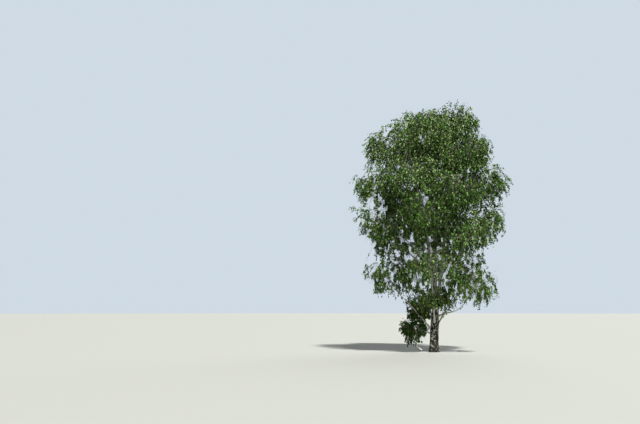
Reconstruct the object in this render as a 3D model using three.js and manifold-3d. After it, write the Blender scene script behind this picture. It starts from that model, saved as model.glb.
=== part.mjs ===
// A paper birch that stands in open ground: a short rough trunk that forks low into three leaders,
// boughs that leave them in tiers, and a mass of hanging foliage on the end of each bough.
// Millimetres, +Z up, +X to the right and +Y away from the viewer. The origin is the middle of the
// flat cut under the trunk, at ground level.
import * as THREE from "three";
import { mergeVertices } from "three/addons/utils/BufferGeometryUtils.js";
import Module from "manifold-3d";

const wasm = await Module();
wasm.setup();

// The tree as a whole.
const TREE_HEIGHT = 14100;
const CROWN_REACH = 4650;
const FORK_HEIGHT = 2050;
const FORK_SUNK = 60;
const TRUNK_LEAN = 110;
const JOINT_GAP = 0.35;

// The trunk: its half thickness above the roots, the flare that the roots give it, and its ribs.
const TRUNK_RADIUS = 232;
const TRUNK_TAPER = 0.06;
const FLARE = 85;
const FLARE_HEIGHT = 260;
const FLARE_RIBS = 5;
const RIB_SHARE = 0.4;

// How many sides and how many straight steps each kind of limb has.
const TRUNK_SIDES = 20;
const TRUNK_STEPS = 8;
const LEADER_SIDES = 8;
const LEADER_STEPS = 8;
const BOUGH_SIDES = 5;
const BOUGH_STEPS = 6;

// The leaders: the turn that each leans to, how far out and how high it ends, how soon it spreads
// (0 keeps it upright at first, 0.5 sends it straight to its end), and its half thickness. Each
// starts beside the middle of the fork, by a share of that thickness.
const LEADERS = [
  { name: "left", turn: 182, out: 1480, top: 11640, spread: 0.03, thick: 130 },
  { name: "right", turn: 345, out: 1300, top: 12250, spread: 0.42, thick: 108 },
  { name: "back", turn: 74, out: 1330, top: 11950, spread: 0.25, thick: 100 },
];
const LEADER_TIP = 0.2;
const LEADER_ASIDE = 0.62;

// How a bough runs. It ends inside its mass, short of the centre and under it, by shares of the
// mass's reach. It leaves its parent at a rising slope and ends at an arching slope.
const ARCHED = { short: 0.5, under: 0.42, rising: 1.15, arching: 0.55 };
const STRAIGHT = { short: 0.45, under: 0.92, rising: 1.02, arching: 0.9 };
const FLAT = { short: 0.45, under: 0.02, rising: 0.2, arching: 0.45 };
const RISING_SHARE = 0.36;
const ARCHING_SHARE = 0.34;
const BOUGH_TIP = 23;

// The tiers of foliage, lowest first: how many masses stand round the crown, how high and how far
// out their centres are, the turn of the first, how far a mass reaches sideways and up, how far
// below its mass a bough leaves its leader, and the bough's half thickness there and its run. The
// skirt's boughs leave the trunk instead, one step above another, each two places on round it.
const TIERS = [
  {
    name: "skirt", count: 5, height: 4350, out: 2420, turn: 180,
    wide: 1620, tall: 1480, drop: 2750, thick: 46, run: STRAIGHT,
  },
  {
    name: "lower", count: 6, height: 7050, out: 2820, turn: 195,
    wide: 1570, tall: 1380, drop: 2350, thick: 52, run: ARCHED,
  },
  {
    name: "middle", count: 6, height: 9300, out: 3020, turn: 180,
    wide: 1630, tall: 1380, drop: 2300, thick: 50, run: ARCHED,
  },
  {
    name: "upper", count: 5, height: 11450, out: 2400, turn: 174,
    wide: 1600, tall: 1260, drop: 1900, thick: 42, run: ARCHED,
  },
];
const SKIRT_START = 1080;
const SKIRT_STEP = 180;
const SKIRT_STRIDE = 2;
const TURN_SWING = 9;
const STAGGER = 620;
const STAGGER_STEP = 126;
const SIZE_SWING = 0.07;

// The low bough on the left and the bush that hangs from it, close over the grass.
const LOW = {
  turn: 186, start: 980, out: 1090, height: 1260,
  wide: 800, tall: 980, thick: 38, run: FLAT, sprays: 21,
};

// A bare shoot bows down out of the low bush and ends just over the grass.
const BARE = { knee: [-1420, -40, 540], tip: [-700, -90, 175], thick: 22, from: 0.1 };

// The masses on the leaders' tips, those along the leaders that fill the middle of the crown, and
// two small ones at the fork: the sprout in front of it and the spur behind the lowest long bough.
// A side mass grows out of its leader some way below its centre.
const TOP = { wide: 1550, tall: 1180, up: 780, inward: 250, lean: 0, rise: 0.62 };
const INNER = {
  count: 5, low: 5750, high: 11300, out: 330, turned: 150, below: 500,
  wide: 1330, tall: 1050, lean: 0, rise: 0.45,
};
const SPROUT = {
  leader: 1, turn: 266, out: 780, height: 3080, below: 500,
  wide: 1100, tall: 920, lean: 0, rise: 0.45,
};

const SPUR = {
  leader: 0, turn: 168, out: 820, height: 2450, below: 300,
  wide: 640, tall: 660, lean: 0, rise: 0.45,
};

// One shoot on the left stands out of the crown by itself.
const STRAY = { tier: "lower", reach: 4000, height: 7750, from: 0.72 };

// Inside a mass: the stem, which is a little slimmer than its bough's tip, and the branches on it.
// The leading branch goes outwards, and the others aim lower and lower, each by the golden turn.
const STEM_SIDES = 3;
const STEM_STEPS = 3;
const STEM_FIT = 0.97;
const STEM_TIP = 13;
const STEM_LEAN = 0.3;
const STEM_RISE = 0.66;
const STEM_BEND = 0.3;
const BRANCHES = 6;
const FIRST_BRANCH = 0.22;
const BRANCH_SPAN = 0.76;
const BRANCH_HIGH = 1.1;
const LEADING_SPAN = 0.8;
const LEADING_HIGH = 0.1;
const TURN_START = 3;
const TURN_KEY = 1.7;
const BRANCH_THICK = 11;
const BRANCH_TIP = 7;

// The sprays on each branch: where they sit, their size, and how they hang. They stand up on top of
// a mass, most of all on top of the crown, and those of a small mass are smaller.
const SPRAYS = 15;
const SPRAY_PLACES = [0.98, 0.7, 0.4];
const SPRAY_LENGTH = 1300;
const SPRAY_WIDTH = 500;
const SPRAY_SAG = 0.14;
const SPRAY_THICK = 26;
const SPRAY_BELLY = 0.42;
const SPRAY_ROOT = 3;
const SPRAY_OUT = 0.6;
const SPRAY_SWING = 0.4;
const SPRAY_DOWN = 0.8;
const SPRAY_LIFT = 1.6;
const TOP_LIFT = 3.2;
const SMALL_MASS = 1200;
const SMALL_SPRAY = 0.6;
const SPRAY_SHORTER = [1, 0.88, 0.77, 0.67, 0.58, 0.5, 0.42];
const SPRAY_ROLLS = [0, 0.37, 0.71];
const ROOM = 1.05;
const SPACE_GAP = 25;
const LIMB_GAP = 30;
const GROUND_GAP = 160;
const FUSE_TOLERANCE = 2.5;
const GOLDEN_SHARE = (Math.sqrt(5) - 1) / 2;
const GOLDEN_TURN = 2 * Math.PI * GOLDEN_SHARE;

const BARK_WHITE = new THREE.MeshStandardMaterial({ color: 0xb9b3a6, roughness: 0.8, metalness: 0 });
const BARK_ROUGH = new THREE.MeshStandardMaterial({ color: 0x6f675e, roughness: 0.95, metalness: 0 });
const LEAF_GREEN = new THREE.MeshStandardMaterial({ color: 0x4c6b2c, roughness: 0.6, metalness: 0 });

const radians = (degrees) => (degrees * Math.PI) / 180;

// A number from 0 to 1 that always comes out the same for the same three keys.
function chance(a, b = 0, c = 0) {
  const wave = Math.sin(a * 12.9898 + b * 78.233 + c * 37.719) * 43758.5453;
  return wave - Math.floor(wave);
}

const swing = (a, b, c) => 2 * chance(a, b, c) - 1;

// The level direction at a turn round the trunk, from +X towards +Y.
function level(turn) {
  return new THREE.Vector3(Math.cos(radians(turn)), Math.sin(radians(turn)), 0);
}

// A closed three.js shape as a solid.
function solidOf(geometry) {
  geometry.deleteAttribute("normal");
  geometry.deleteAttribute("uv");
  const merged = mergeVertices(geometry, 1e-4);
  const mesh = new wasm.Mesh({
    numProp: 3,
    vertProperties: merged.getAttribute("position").array,
    triVerts: new Uint32Array(merged.index.array),
  });
  return new wasm.Manifold(mesh);
}

// The largest of the bodies that a cut or a join leaves: loose scraps and sealed hollows go.
function largest(solid) {
  const bodies = solid.decompose();
  return bodies.reduce((best, body) => (body.volume() > best.volume() ? body : best));
}

// A limb is a cylinder whose rings are carried along a curve. radiusAt(t, angle) gives its half
// thickness, and flat keeps every ring level, so that the limb stands on a flat cut.
function limbSolid(curve, radiusAt, sides, steps, flat = false) {
  const rings = [];
  let side = flat ? new THREE.Vector3(1, 0, 0) : null;
  for (let i = 0; i <= steps; i += 1) {
    const along = flat ? new THREE.Vector3(0, 0, 1) : curve.getTangent(i / steps);
    side ??= new THREE.Vector3(0.31, 0.87, 0.11).cross(along);
    side = side.clone().addScaledVector(along, -side.dot(along)).normalize();
    rings.push({ at: curve.getPoint(i / steps), side, front: side.clone().cross(along) });
  }
  const limb = new THREE.CylinderGeometry(1, 1, 1, sides, steps);
  const place = limb.getAttribute("position");
  for (let v = 0; v < place.count; v += 1) {
    const row = Math.round((place.getY(v) + 0.5) * steps);
    const x = Math.round(place.getX(v) * 1e5) / 1e5;
    const z = Math.round(place.getZ(v) * 1e5) / 1e5;
    const radius = radiusAt(row / steps, Math.atan2(z, x));
    const point = rings[row].at
      .clone()
      .addScaledVector(rings[row].side, x * radius)
      .addScaledVector(rings[row].front, z * radius);
    place.setXYZ(v, point.x, point.y, point.z);
  }
  return solidOf(limb);
}

// The trunk's half thickness: nearly even, with a ribbed flare that dies out above the roots.
function trunkRadius(t, angle) {
  const height = t * FORK_HEIGHT;
  const ribs = 1 + RIB_SHARE * Math.cos(FLARE_RIBS * angle);
  return TRUNK_RADIUS * (1 - TRUNK_TAPER * t) + FLARE * ribs * Math.exp(-height / FLARE_HEIGHT);
}

const taper = (from, to) => (t) => from + (to - from) * t;

const limbs = [];
const solids = new Map();

// Keeps a limb's solid, cut clear of the limbs that it grows from. The limb's line is for what
// grows on it, the grown copy cuts what starts inside it, and no foliage comes into the guard.
function addLimb(name, curve, radiusAt, sides, steps, cutters, flat = false) {
  let solid = limbSolid(curve, radiusAt, sides, steps, flat);
  for (const other of cutters) solid = largest(solid.subtract(other.grown));
  const thicker = (gap) => (t, angle) => radiusAt(t, angle) + gap / Math.cos(Math.PI / sides);
  const limb = {
    curve,
    grown: limbSolid(curve, thicker(JOINT_GAP), sides, steps, flat),
    guard: limbSolid(curve, thicker(LIMB_GAP), sides, steps, flat),
  };
  limbs.push(limb);
  solids.set(name, solid);
  return limb;
}

function buildTrunk() {
  const foot = new THREE.Vector3(0, 0, 0);
  const fork = new THREE.Vector3(TRUNK_LEAN, 0, FORK_HEIGHT);
  const belly = new THREE.Vector3(TRUNK_LEAN * 0.3, 0, FORK_HEIGHT * 0.5);
  const line = new THREE.QuadraticBezierCurve3(foot, belly, fork);
  return addLimb("trunk", line, trunkRadius, TRUNK_SIDES, TRUNK_STEPS, [], true);
}

// A leader rises from inside the trunk's head and leans out more the higher it gets.
function buildLeader(trunk, plan, earlier) {
  const lean = level(plan.turn);
  const fork = new THREE.Vector3(TRUNK_LEAN, 0, FORK_HEIGHT - FORK_SUNK);
  const start = fork.addScaledVector(lean, plan.thick * LEADER_ASIDE);
  const end = start.clone().addScaledVector(lean, plan.out).setZ(plan.top);
  const bend = start.clone().addScaledVector(lean, plan.out * plan.spread);
  bend.z += (plan.top - start.z) / 2;
  const line = new THREE.QuadraticBezierCurve3(start, bend, end);
  const radiusAt = taper(plan.thick, plan.thick * LEADER_TIP);
  const name = `leader_${plan.name}`;
  return addLimb(name, line, radiusAt, LEADER_SIDES, LEADER_STEPS, [trunk, ...earlier]);
}

// The centre and the reach of each mass in a tier. The masses stand higher and lower by turns, so
// that the tiers run into each other, and a small swing keeps any two from being alike.
function tierMasses(tier, tierNumber) {
  return Array.from({ length: tier.count }, (_, i) => {
    const grow = 1 + SIZE_SWING * swing(tierNumber, i, 3) * (i ? 1 : 0);
    const turn = tier.turn + (360 * i) / tier.count + TURN_SWING * swing(tierNumber, i, 1) * (i ? 1 : 0);
    const out = Math.min(tier.out, CROWN_REACH - tier.wide * grow);
    const centre = level(turn).multiplyScalar(out);
    centre.z = tier.height + STAGGER * Math.sin(radians(STAGGER_STEP * i));
    const name = `${tier.name}_${i + 1}`;
    return { name, turn, centre, wide: tier.wide * grow, tall: tier.tall * grow };
  });
}

const turnApart = (a, b) => Math.abs(((a - b + 540) % 360) - 180);

// The point of a limb's line at a height.
function atHeight(limb, height) {
  let low = 0;
  let high = 1;
  for (let i = 0; i < 30; i += 1) {
    const middle = (low + high) / 2;
    if (limb.curve.getPoint(middle).z < height) low = middle;
    else high = middle;
  }
  return limb.curve.getPoint(low);
}

// A bough leaves its parent steeply and arches out to the near side of its mass, where it ends.
function buildBough(mass, parent, startHeight, plan, cutters) {
  const start = atHeight(parent, startHeight);
  const outward = mass.centre.clone().sub(start).setZ(0).normalize();
  const end = mass.centre.clone().addScaledVector(outward, -plan.run.short * mass.wide);
  end.z -= plan.run.under * mass.tall;
  const span = end.distanceTo(start);
  const rising = outward.clone().setZ(plan.run.rising).normalize();
  const arching = outward.clone().setZ(plan.run.arching).normalize();
  const line = new THREE.CubicBezierCurve3(
    start,
    start.clone().addScaledVector(rising, span * RISING_SHARE),
    end.clone().addScaledVector(arching, -span * ARCHING_SHARE),
    end,
  );
  mass.entry = end.clone().addScaledVector(line.getTangent(1), JOINT_GAP);
  mass.heading = line.getTangent(1);
  mass.outward = outward;
  mass.lean = STEM_LEAN;
  mass.rise = STEM_RISE;
  const radiusAt = taper(plan.thick, BOUGH_TIP);
  return addLimb(`bough_${mass.name}`, line, radiusAt, BOUGH_SIDES, BOUGH_STEPS, cutters);
}

// A mass with no bough of its own grows from the tip of a leader.
function topMass(leader, plan) {
  const tip = leader.curve.getPoint(1);
  const heading = leader.curve.getTangent(1);
  const inward = level(plan.turn).multiplyScalar(-TOP.inward);
  const centre = tip.clone().add(inward).setZ(Math.min(tip.z + TOP.up, TREE_HEIGHT - TOP.tall));
  const entry = tip.clone().addScaledVector(heading, JOINT_GAP);
  const outward = level(plan.turn);
  return { name: `top_${plan.name}`, ...TOP, centre, entry, heading, outward, top: true };
}

// A side mass grows out of a leader's side, so its stem starts inside and is cut clear later.
function sideMass(name, plan, leader, turn, height) {
  const entry = atHeight(leader, height - plan.below);
  const outward = level(turn);
  const centre = outward.clone().multiplyScalar(plan.out).setZ(height);
  const heading = centre.clone().sub(entry).normalize();
  return { ...plan, name, centre, entry, heading, outward, cutter: leader };
}

function innerMass(leaders, i) {
  const height = INNER.low + ((INNER.high - INNER.low) * i) / (INNER.count - 1);
  const n = i % leaders.length;
  return sideMass(`inner_${i + 1}`, INNER, leaders[n], LEADERS[n].turn + INNER.turned, height);
}

// How far a point is from a mass's centre, as a share of the mass's reach.
function shareOut(point, mass) {
  const d = point.clone().sub(mass.centre);
  return Math.hypot(d.x / mass.wide, d.y / mass.wide, d.z / mass.tall);
}

// A mass keeps to its own side of a flat plane between it and each other mass.
function ownSide(point, mass, masses) {
  return masses.every((other) => {
    if (other === mass) return true;
    const between = other.centre.clone().sub(mass.centre);
    const share = mass.wide / (mass.wide + other.wide);
    const limit = between.length() * share - SPACE_GAP;
    return point.clone().sub(mass.centre).dot(between.normalize()) < limit;
  });
}

// Whether points stay in the mass's space and above the grass.
function keepsIn(points, mass, masses, room) {
  return points.every((point) => {
    if (point.z < GROUND_GAP || point.z > TREE_HEIGHT) return false;
    return shareOut(point, mass) <= room && ownSide(point, mass, masses);
  });
}

// Whether a solid meets none of the others.
const meetsNone = (solid, others) => others.every((other) => solid.intersect(other).isEmpty());

const clearOfLimbs = (solid) => meetsNone(solid, limbs.map((limb) => limb.guard));

// A spray of leaves is a thin keeled blade: a ball of three sides and two rows, pulled long and
// nearly flat, widest nearer its root, which is sunk in its twig. Its tip sags.
function spraySolid(root, heading, roll, size) {
  const side = new THREE.Vector3(0.4, 0.3, 0.86).cross(heading).normalize();
  side.applyAxisAngle(heading, roll);
  const flat = side.clone().cross(heading);
  const spray = new THREE.SphereGeometry(1, 3, 2);
  const place = spray.getAttribute("position");
  const outline = [];
  for (let v = 0; v < place.count; v += 1) {
    const row = Math.round(place.getY(v));
    const across = -Math.round(place.getZ(v) * 1e5) / 1e5 / Math.sqrt(3);
    const through = Math.round(place.getX(v) * 1e5) / 1e5 / 1.5;
    const along = row === 0 ? SPRAY_BELLY : (row + 1) / 2;
    const point = root
      .clone()
      .addScaledVector(heading, along * SPRAY_LENGTH * size - SPRAY_ROOT)
      .addScaledVector(side, across * SPRAY_WIDTH * size)
      .addScaledVector(flat, through * SPRAY_THICK);
    if (row > 0) point.z -= SPRAY_SAG * SPRAY_LENGTH * size;
    place.setXYZ(v, point.x, point.y, point.z);
    if (row >= 0) outline.push(point);
  }
  return { solid: solidOf(spray), outline };
}

// Which way a spray hangs: outwards and down, but up and out where it stands on top of the crown.
function sprayHeading(mass, point, key) {
  const out = point.clone().sub(mass.centre).setZ(0);
  if (out.length() > 1) out.normalize();
  const height = (point.z - mass.centre.z) / mass.tall;
  out.multiplyScalar(SPRAY_OUT);
  out.x += SPRAY_SWING * swing(key, 5);
  out.y += SPRAY_SWING * swing(key, 6);
  out.z = (mass.top ? TOP_LIFT : SPRAY_LIFT) * Math.max(0, height) - SPRAY_DOWN;
  return out.normalize();
}

// The line of one branch, from the stem to its place near the skin of the mass. The first goes
// straight outwards, and the rest are spread evenly round the mass.
function branchLine(mass, stem, i) {
  const high = i ? BRANCH_HIGH - (2 * i) / BRANCHES : LEADING_HIGH;
  const turn = GOLDEN_TURN * (i + TURN_START) + mass.key;
  const flat = i ? new THREE.Vector3(Math.cos(turn), Math.sin(turn), 0) : mass.outward.clone();
  const aim = flat.multiplyScalar(Math.sqrt(1 - high * high) * mass.wide).setZ(high * mass.tall);
  const end = mass.centre.clone().addScaledVector(aim, i ? BRANCH_SPAN : LEADING_SPAN);
  const start = stem.getPoint(FIRST_BRANCH + (1 - FIRST_BRANCH) * ((i * GOLDEN_SHARE) % 1));
  return new THREE.LineCurve3(start, end);
}

// The spray on one place of a twig: the longest that keeps to the space and touches nothing.
function sprayAt(root, key, mass, masses, taken, room) {
  for (const shorter of SPRAY_SHORTER) {
    const size = shorter * (mass.wide < SMALL_MASS ? SMALL_SPRAY : 1);
    for (const roll of SPRAY_ROLLS) {
      const heading = sprayHeading(mass, root, key + roll);
      const spray = spraySolid(root, heading, Math.PI * (chance(key, 8) + roll), size);
      const middle = root.clone().addScaledVector(heading, SPRAY_LENGTH * size * 0.5);
      if (!keepsIn([middle, ...spray.outline], mass, masses, room)) continue;
      if (clearOfLimbs(spray.solid) && meetsNone(spray.solid, taken)) return spray.solid;
    }
  }
  return null;
}

// The stem of a mass: it carries on from its bough and bends up towards the outside, or straight
// up where the mass has no bough.
function stemLine(mass) {
  const end = mass.centre.clone().addScaledVector(mass.outward, mass.lean * mass.wide);
  end.z += mass.rise * mass.tall;
  const reach = STEM_BEND * mass.entry.distanceTo(end);
  const bend = mass.entry.clone().addScaledVector(mass.heading, reach);
  return new THREE.QuadraticBezierCurve3(mass.entry, bend, end);
}

// The shoot with no leaves that hangs out of the low bush.
function bareShoot(stem) {
  const knee = new THREE.Vector3(...BARE.knee);
  const tip = new THREE.Vector3(...BARE.tip);
  const line = new THREE.QuadraticBezierCurve3(stem.getPoint(BARE.from), knee, tip);
  return { line, bare: true, solid: limbSolid(line, taper(BARE.thick, BRANCH_TIP), 3, 4) };
}

// A mass of foliage: one stem, branches off it, and sprays off the branches, all fused.
function buildMass(mass, masses, number) {
  mass.key = number * TURN_KEY;
  const stem = stemLine(mass);
  const stemRadius = taper(BOUGH_TIP * STEM_FIT, STEM_TIP);
  const stemSolid = limbSolid(stem, stemRadius, STEM_SIDES, STEM_STEPS);
  const twigs = [{ line: stem, room: ROOM, solid: stemSolid }];

  const lines = Array.from({ length: BRANCHES }, (_, i) => branchLine(mass, stem, i));
  if (mass.stray) lines.push(new THREE.LineCurve3(stem.getPoint(STRAY.from), mass.stray));
  for (const [i, line] of lines.entries()) {
    const room = i < BRANCHES ? ROOM : Infinity;
    if (!keepsIn([line.getPoint(0.5), line.getPoint(1)], mass, masses, room)) continue;
    const solid = limbSolid(line, taper(BRANCH_THICK, BRANCH_TIP), 3, 1);
    const others = twigs.slice(1).map((twig) => twig.solid);
    if (clearOfLimbs(solid) && meetsNone(solid, others)) twigs.push({ line, room, solid });
  }
  if (mass.bare) twigs.push(bareShoot(stem));

  const sprays = [];
  for (const [step, t] of SPRAY_PLACES.entries()) {
    for (const [i, twig] of twigs.entries()) {
      if (twig.bare || sprays.length >= (mass.sprays ?? SPRAYS)) continue;
      const others = twigs.filter((other) => other !== twig).map((other) => other.solid);
      const key = number * 31 + i * 7 + step;
      const root = twig.line.getPoint(t);
      const spray = sprayAt(root, key, mass, masses, [...others, ...sprays], twig.room);
      if (spray) sprays.push(spray);
    }
  }
  const fused = largest(wasm.Manifold.union([...twigs.map((twig) => twig.solid), ...sprays]));
  const simple = largest(fused.simplify(FUSE_TOLERANCE));
  return mass.cutter ? largest(simple.subtract(mass.cutter.grown)) : simple;
}

function meshOf(name, solid, material) {
  const { vertProperties, triVerts } = solid.getMesh();
  const geometry = new THREE.BufferGeometry();
  geometry.setAttribute("position", new THREE.BufferAttribute(new Float32Array(vertProperties), 3));
  geometry.setIndex(new THREE.BufferAttribute(new Uint32Array(triVerts), 1));
  geometry.computeVertexNormals();
  const mesh = new THREE.Mesh(geometry, material);
  mesh.name = name;
  return mesh;
}

const trunk = buildTrunk();
const leaders = [];
for (const plan of LEADERS) leaders.push(buildLeader(trunk, plan, [...leaders]));

const masses = [];
const low = { name: "low", ...LOW, centre: level(LOW.turn).multiplyScalar(LOW.out).setZ(LOW.height) };
buildBough(low, trunk, LOW.start, LOW, [trunk]);
masses.push(low);
for (const [tierNumber, tier] of TIERS.entries()) {
  for (const [i, mass] of tierMasses(tier, tierNumber).entries()) {
    const nearest = LEADERS.map((plan, n) => ({ n, apart: turnApart(plan.turn, mass.turn) }));
    nearest.sort((a, b) => a.apart - b.apart);
    const onTrunk = tierNumber === 0;
    const parent = onTrunk ? trunk : leaders[nearest[0].n];
    const step = (SKIRT_STRIDE * i) % tier.count;
    const startHeight = onTrunk ? SKIRT_START + SKIRT_STEP * step : mass.centre.z - tier.drop;
    buildBough(mass, parent, startHeight, tier, [trunk, ...leaders]);
    masses.push(mass);
  }
}
for (const [n, plan] of LEADERS.entries()) masses.push(topMass(leaders[n], plan));
for (let i = 0; i < INNER.count; i += 1) masses.push(innerMass(leaders, i));
masses.push(sideMass("sprout", SPROUT, leaders[SPROUT.leader], SPROUT.turn, SPROUT.height));
masses.push(sideMass("spur", SPUR, leaders[SPUR.leader], SPUR.turn, SPUR.height));

low.bare = true;
const strayMass = masses.find((mass) => mass.name === `${STRAY.tier}_1`);
strayMass.stray = level(strayMass.turn).multiplyScalar(STRAY.reach).setZ(STRAY.height);

const tree = new THREE.Group();
for (const [name, solid] of solids) {
  tree.add(meshOf(name, solid, name === "trunk" ? BARK_ROUGH : BARK_WHITE));
}
for (const [number, mass] of masses.entries()) {
  tree.add(meshOf(`foliage_${mass.name}`, buildMass(mass, masses, number), LEAF_GREEN));
}

export default tree;
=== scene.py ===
# %% [markdown]
# # A paper birch, from the bark to the leaves
# This lesson dresses a plain solid model of a birch tree: a short rough trunk that forks low, three
# pale leaders, boughs in tiers, and a mass of hanging foliage on the end of each bough.
# The solid model is loaded first and stays where it is. Every new piece is worked out in metres, in
# the same frame, with the middle of the trunk's foot at the origin, +Z up and +Y away from us.

# %% Load the solid model
import itertools
import math

import bpy
import numpy as np
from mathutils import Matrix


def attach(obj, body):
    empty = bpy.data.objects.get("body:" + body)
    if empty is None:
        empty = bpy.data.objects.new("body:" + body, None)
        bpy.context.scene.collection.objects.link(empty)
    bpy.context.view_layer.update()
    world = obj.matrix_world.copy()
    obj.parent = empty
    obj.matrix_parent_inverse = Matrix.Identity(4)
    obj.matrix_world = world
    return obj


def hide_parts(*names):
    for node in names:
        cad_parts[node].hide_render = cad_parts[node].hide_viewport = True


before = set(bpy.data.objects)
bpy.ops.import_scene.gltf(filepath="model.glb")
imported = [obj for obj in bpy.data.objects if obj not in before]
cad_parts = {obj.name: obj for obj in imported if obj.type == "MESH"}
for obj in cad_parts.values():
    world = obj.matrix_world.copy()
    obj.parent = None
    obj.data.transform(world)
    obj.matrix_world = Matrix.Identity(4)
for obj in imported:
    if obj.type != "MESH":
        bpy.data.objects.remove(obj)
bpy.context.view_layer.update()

# %% [markdown]
# ## The tree's plan
# A tree could be drawn limb by limb, but a rule is shorter and can be changed in one place. The
# same rule made the solids, so the bark and the leaves below grow exactly where the solids stand.
# These are its driving sizes: the trunk, the three leaders, and the tiers of foliage.

# %% The sizes of the plan
TREE_HEIGHT = 14.1
CROWN_REACH = 4.65
FORK_HEIGHT = 2.05
FORK_SUNK = 0.06
TRUNK_LEAN = 0.11
TRUNK_BEND = 0.3
TRUNK_RADIUS = 0.232
TRUNK_TAPER = 0.06
FLARE = 0.085
FLARE_HEIGHT = 0.26
FLARE_RIBS = 5
RIB_SHARE = 0.4
JOINT_GAP = 0.00035

LEADERS = (
    {"name": "left", "turn": 182, "out": 1.48, "top": 11.64, "spread": 0.03, "thick": 0.13},
    {"name": "right", "turn": 345, "out": 1.3, "top": 12.25, "spread": 0.42, "thick": 0.108},
    {"name": "back", "turn": 74, "out": 1.33, "top": 11.95, "spread": 0.25, "thick": 0.1},
)
LEADER_TIP = 0.2
LEADER_ASIDE = 0.62

ARCHED = {"short": 0.5, "under": 0.42, "rising": 1.15, "arching": 0.55}
STRAIGHT = {"short": 0.45, "under": 0.92, "rising": 1.02, "arching": 0.9}
FLAT = {"short": 0.45, "under": 0.02, "rising": 0.2, "arching": 0.45}
RISING_SHARE = 0.36
ARCHING_SHARE = 0.34
BOUGH_TIP = 0.023

TIERS = (
    {"name": "skirt", "count": 5, "height": 4.35, "out": 2.42, "turn": 180,
     "wide": 1.62, "tall": 1.48, "drop": 2.75, "thick": 0.046, "run": STRAIGHT},
    {"name": "lower", "count": 6, "height": 7.05, "out": 2.82, "turn": 195,
     "wide": 1.57, "tall": 1.38, "drop": 2.35, "thick": 0.052, "run": ARCHED},
    {"name": "middle", "count": 6, "height": 9.3, "out": 3.02, "turn": 180,
     "wide": 1.63, "tall": 1.38, "drop": 2.3, "thick": 0.05, "run": ARCHED},
    {"name": "upper", "count": 5, "height": 11.45, "out": 2.4, "turn": 174,
     "wide": 1.6, "tall": 1.26, "drop": 1.9, "thick": 0.042, "run": ARCHED},
)
SKIRT_START = 1.08
SKIRT_STEP = 0.18
SKIRT_STRIDE = 2
TURN_SWING = 9
STAGGER = 0.62
STAGGER_STEP = 126
SIZE_SWING = 0.07

LOW = {"turn": 186, "start": 0.98, "out": 1.09, "height": 1.26, "wide": 0.8, "tall": 0.98,
       "thick": 0.038, "run": FLAT}
BARE_SHOOT = {"knee": (-1.42, -0.04, 0.54), "tip": (-0.68, -0.09, 0.12), "thick": 0.03,
              "thin": 0.026, "from": 0.1}
TOP = {"wide": 1.55, "tall": 1.18, "up": 0.78, "inward": 0.25, "lean": 0.0, "rise": 0.62}
INNER = {"count": 5, "low": 5.75, "high": 11.3, "out": 0.33, "turned": 150, "below": 0.5,
         "wide": 1.33, "tall": 1.05, "lean": 0.0, "rise": 0.45}
SPROUT = {"leader": 1, "turn": 266, "out": 0.78, "height": 3.08, "below": 0.5,
          "wide": 1.1, "tall": 0.92, "lean": 0.0, "rise": 0.45}
SPUR = {"leader": 0, "turn": 168, "out": 0.82, "height": 2.45, "below": 0.3,
        "wide": 0.64, "tall": 0.66, "lean": 0.0, "rise": 0.45}
STRAY = {"tier": "lower", "reach": 4.1, "height": 7.75, "from": 0.72}
STEM_LEAN = 0.3
STEM_RISE = 0.66
STEM_TIP = 0.013
print(len(LEADERS), "leaders and", sum(tier["count"] for tier in TIERS), "boughs in tiers")

# %% [markdown]
# ## Chance and curves
# A tree needs numbers that look random yet come out the same each time, so `chance` takes keys
# instead of drawing from a seed. Limbs are Bezier curves: a start, an end, and one or two points
# that pull the line to their side. Both work on whole arrays at once.

# %% Chance, directions and curves
GOLDEN_SHARE = (math.sqrt(5) - 1) / 2
GOLDEN_TURN = 2 * math.pi * GOLDEN_SHARE
UP = np.array([0.0, 0.0, 1.0])


def chance(a, b=0.0, c=0.0):
    """From 0 to 1: what is left after the point of sin(12.9898 a + 78.233 b + 37.719 c) * 43758.5453."""
    wave = np.sin(a * 12.9898 + b * 78.233 + c * 37.719) * 43758.5453
    return wave - np.floor(wave)


def swing(a, b=0.0, c=0.0):
    """The same number, from -1 to 1."""
    return 2 * chance(a, b, c) - 1


def level(turn):
    """The level direction at a turn in degrees, from +X towards +Y: (cos, sin, 0)."""
    return np.array([math.cos(math.radians(turn)), math.sin(math.radians(turn)), 0.0])


def unit(vectors):
    """The vectors at length one, each divided by its own length."""
    return vectors / np.maximum(np.linalg.norm(vectors, axis=-1, keepdims=True), 1e-9)


def curve_at(controls, t):
    """Points on Bezier curves. controls is (..., k, 3) and t is (m,), and the result is (..., m, 3).

    With n = k - 1, a point is the sum over i of choose(n, i) t^i (1 - t)^(n - i) control_i."""
    n = controls.shape[-2] - 1
    weights = np.stack([math.comb(n, i) * t**i * (1 - t) ** (n - i) for i in range(n + 1)], axis=-1)
    return weights @ controls


def curve_heading(controls, t):
    """The unit tangent: the same sum one degree lower, over the steps between the control points."""
    return unit(curve_at(np.diff(controls, axis=-2), t))


print("chance(1) is", round(float(chance(1.0)), 6))

# %% [markdown]
# ## Limbs and masses by the rule
# A leader rises from the fork and leans out more the higher it gets. A bough leaves its leader
# steeply and arches over to its mass. A mass is an egg-shaped space, `wide` sideways and `tall` up,
# with one stem that carries on from the bough. The masses of a tier stand higher and lower by
# turns, so that the tiers run into each other.

# %% Lines of the leaders and boughs
limbs = {}


def add_limb(name, controls, thick, tip):
    """Keeps a limb's control points and its half thickness, which falls evenly to the tip."""
    limbs[name] = {"controls": np.array(controls), "thick": thick, "tip": tip}


def point_at_height(controls, height):
    """Where a rising curve passes a height, read between 2001 points on it."""
    points = curve_at(controls, np.linspace(0, 1, 2001))
    return np.array([np.interp(height, points[:, 2], points[:, axis]) for axis in range(3)])


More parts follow.
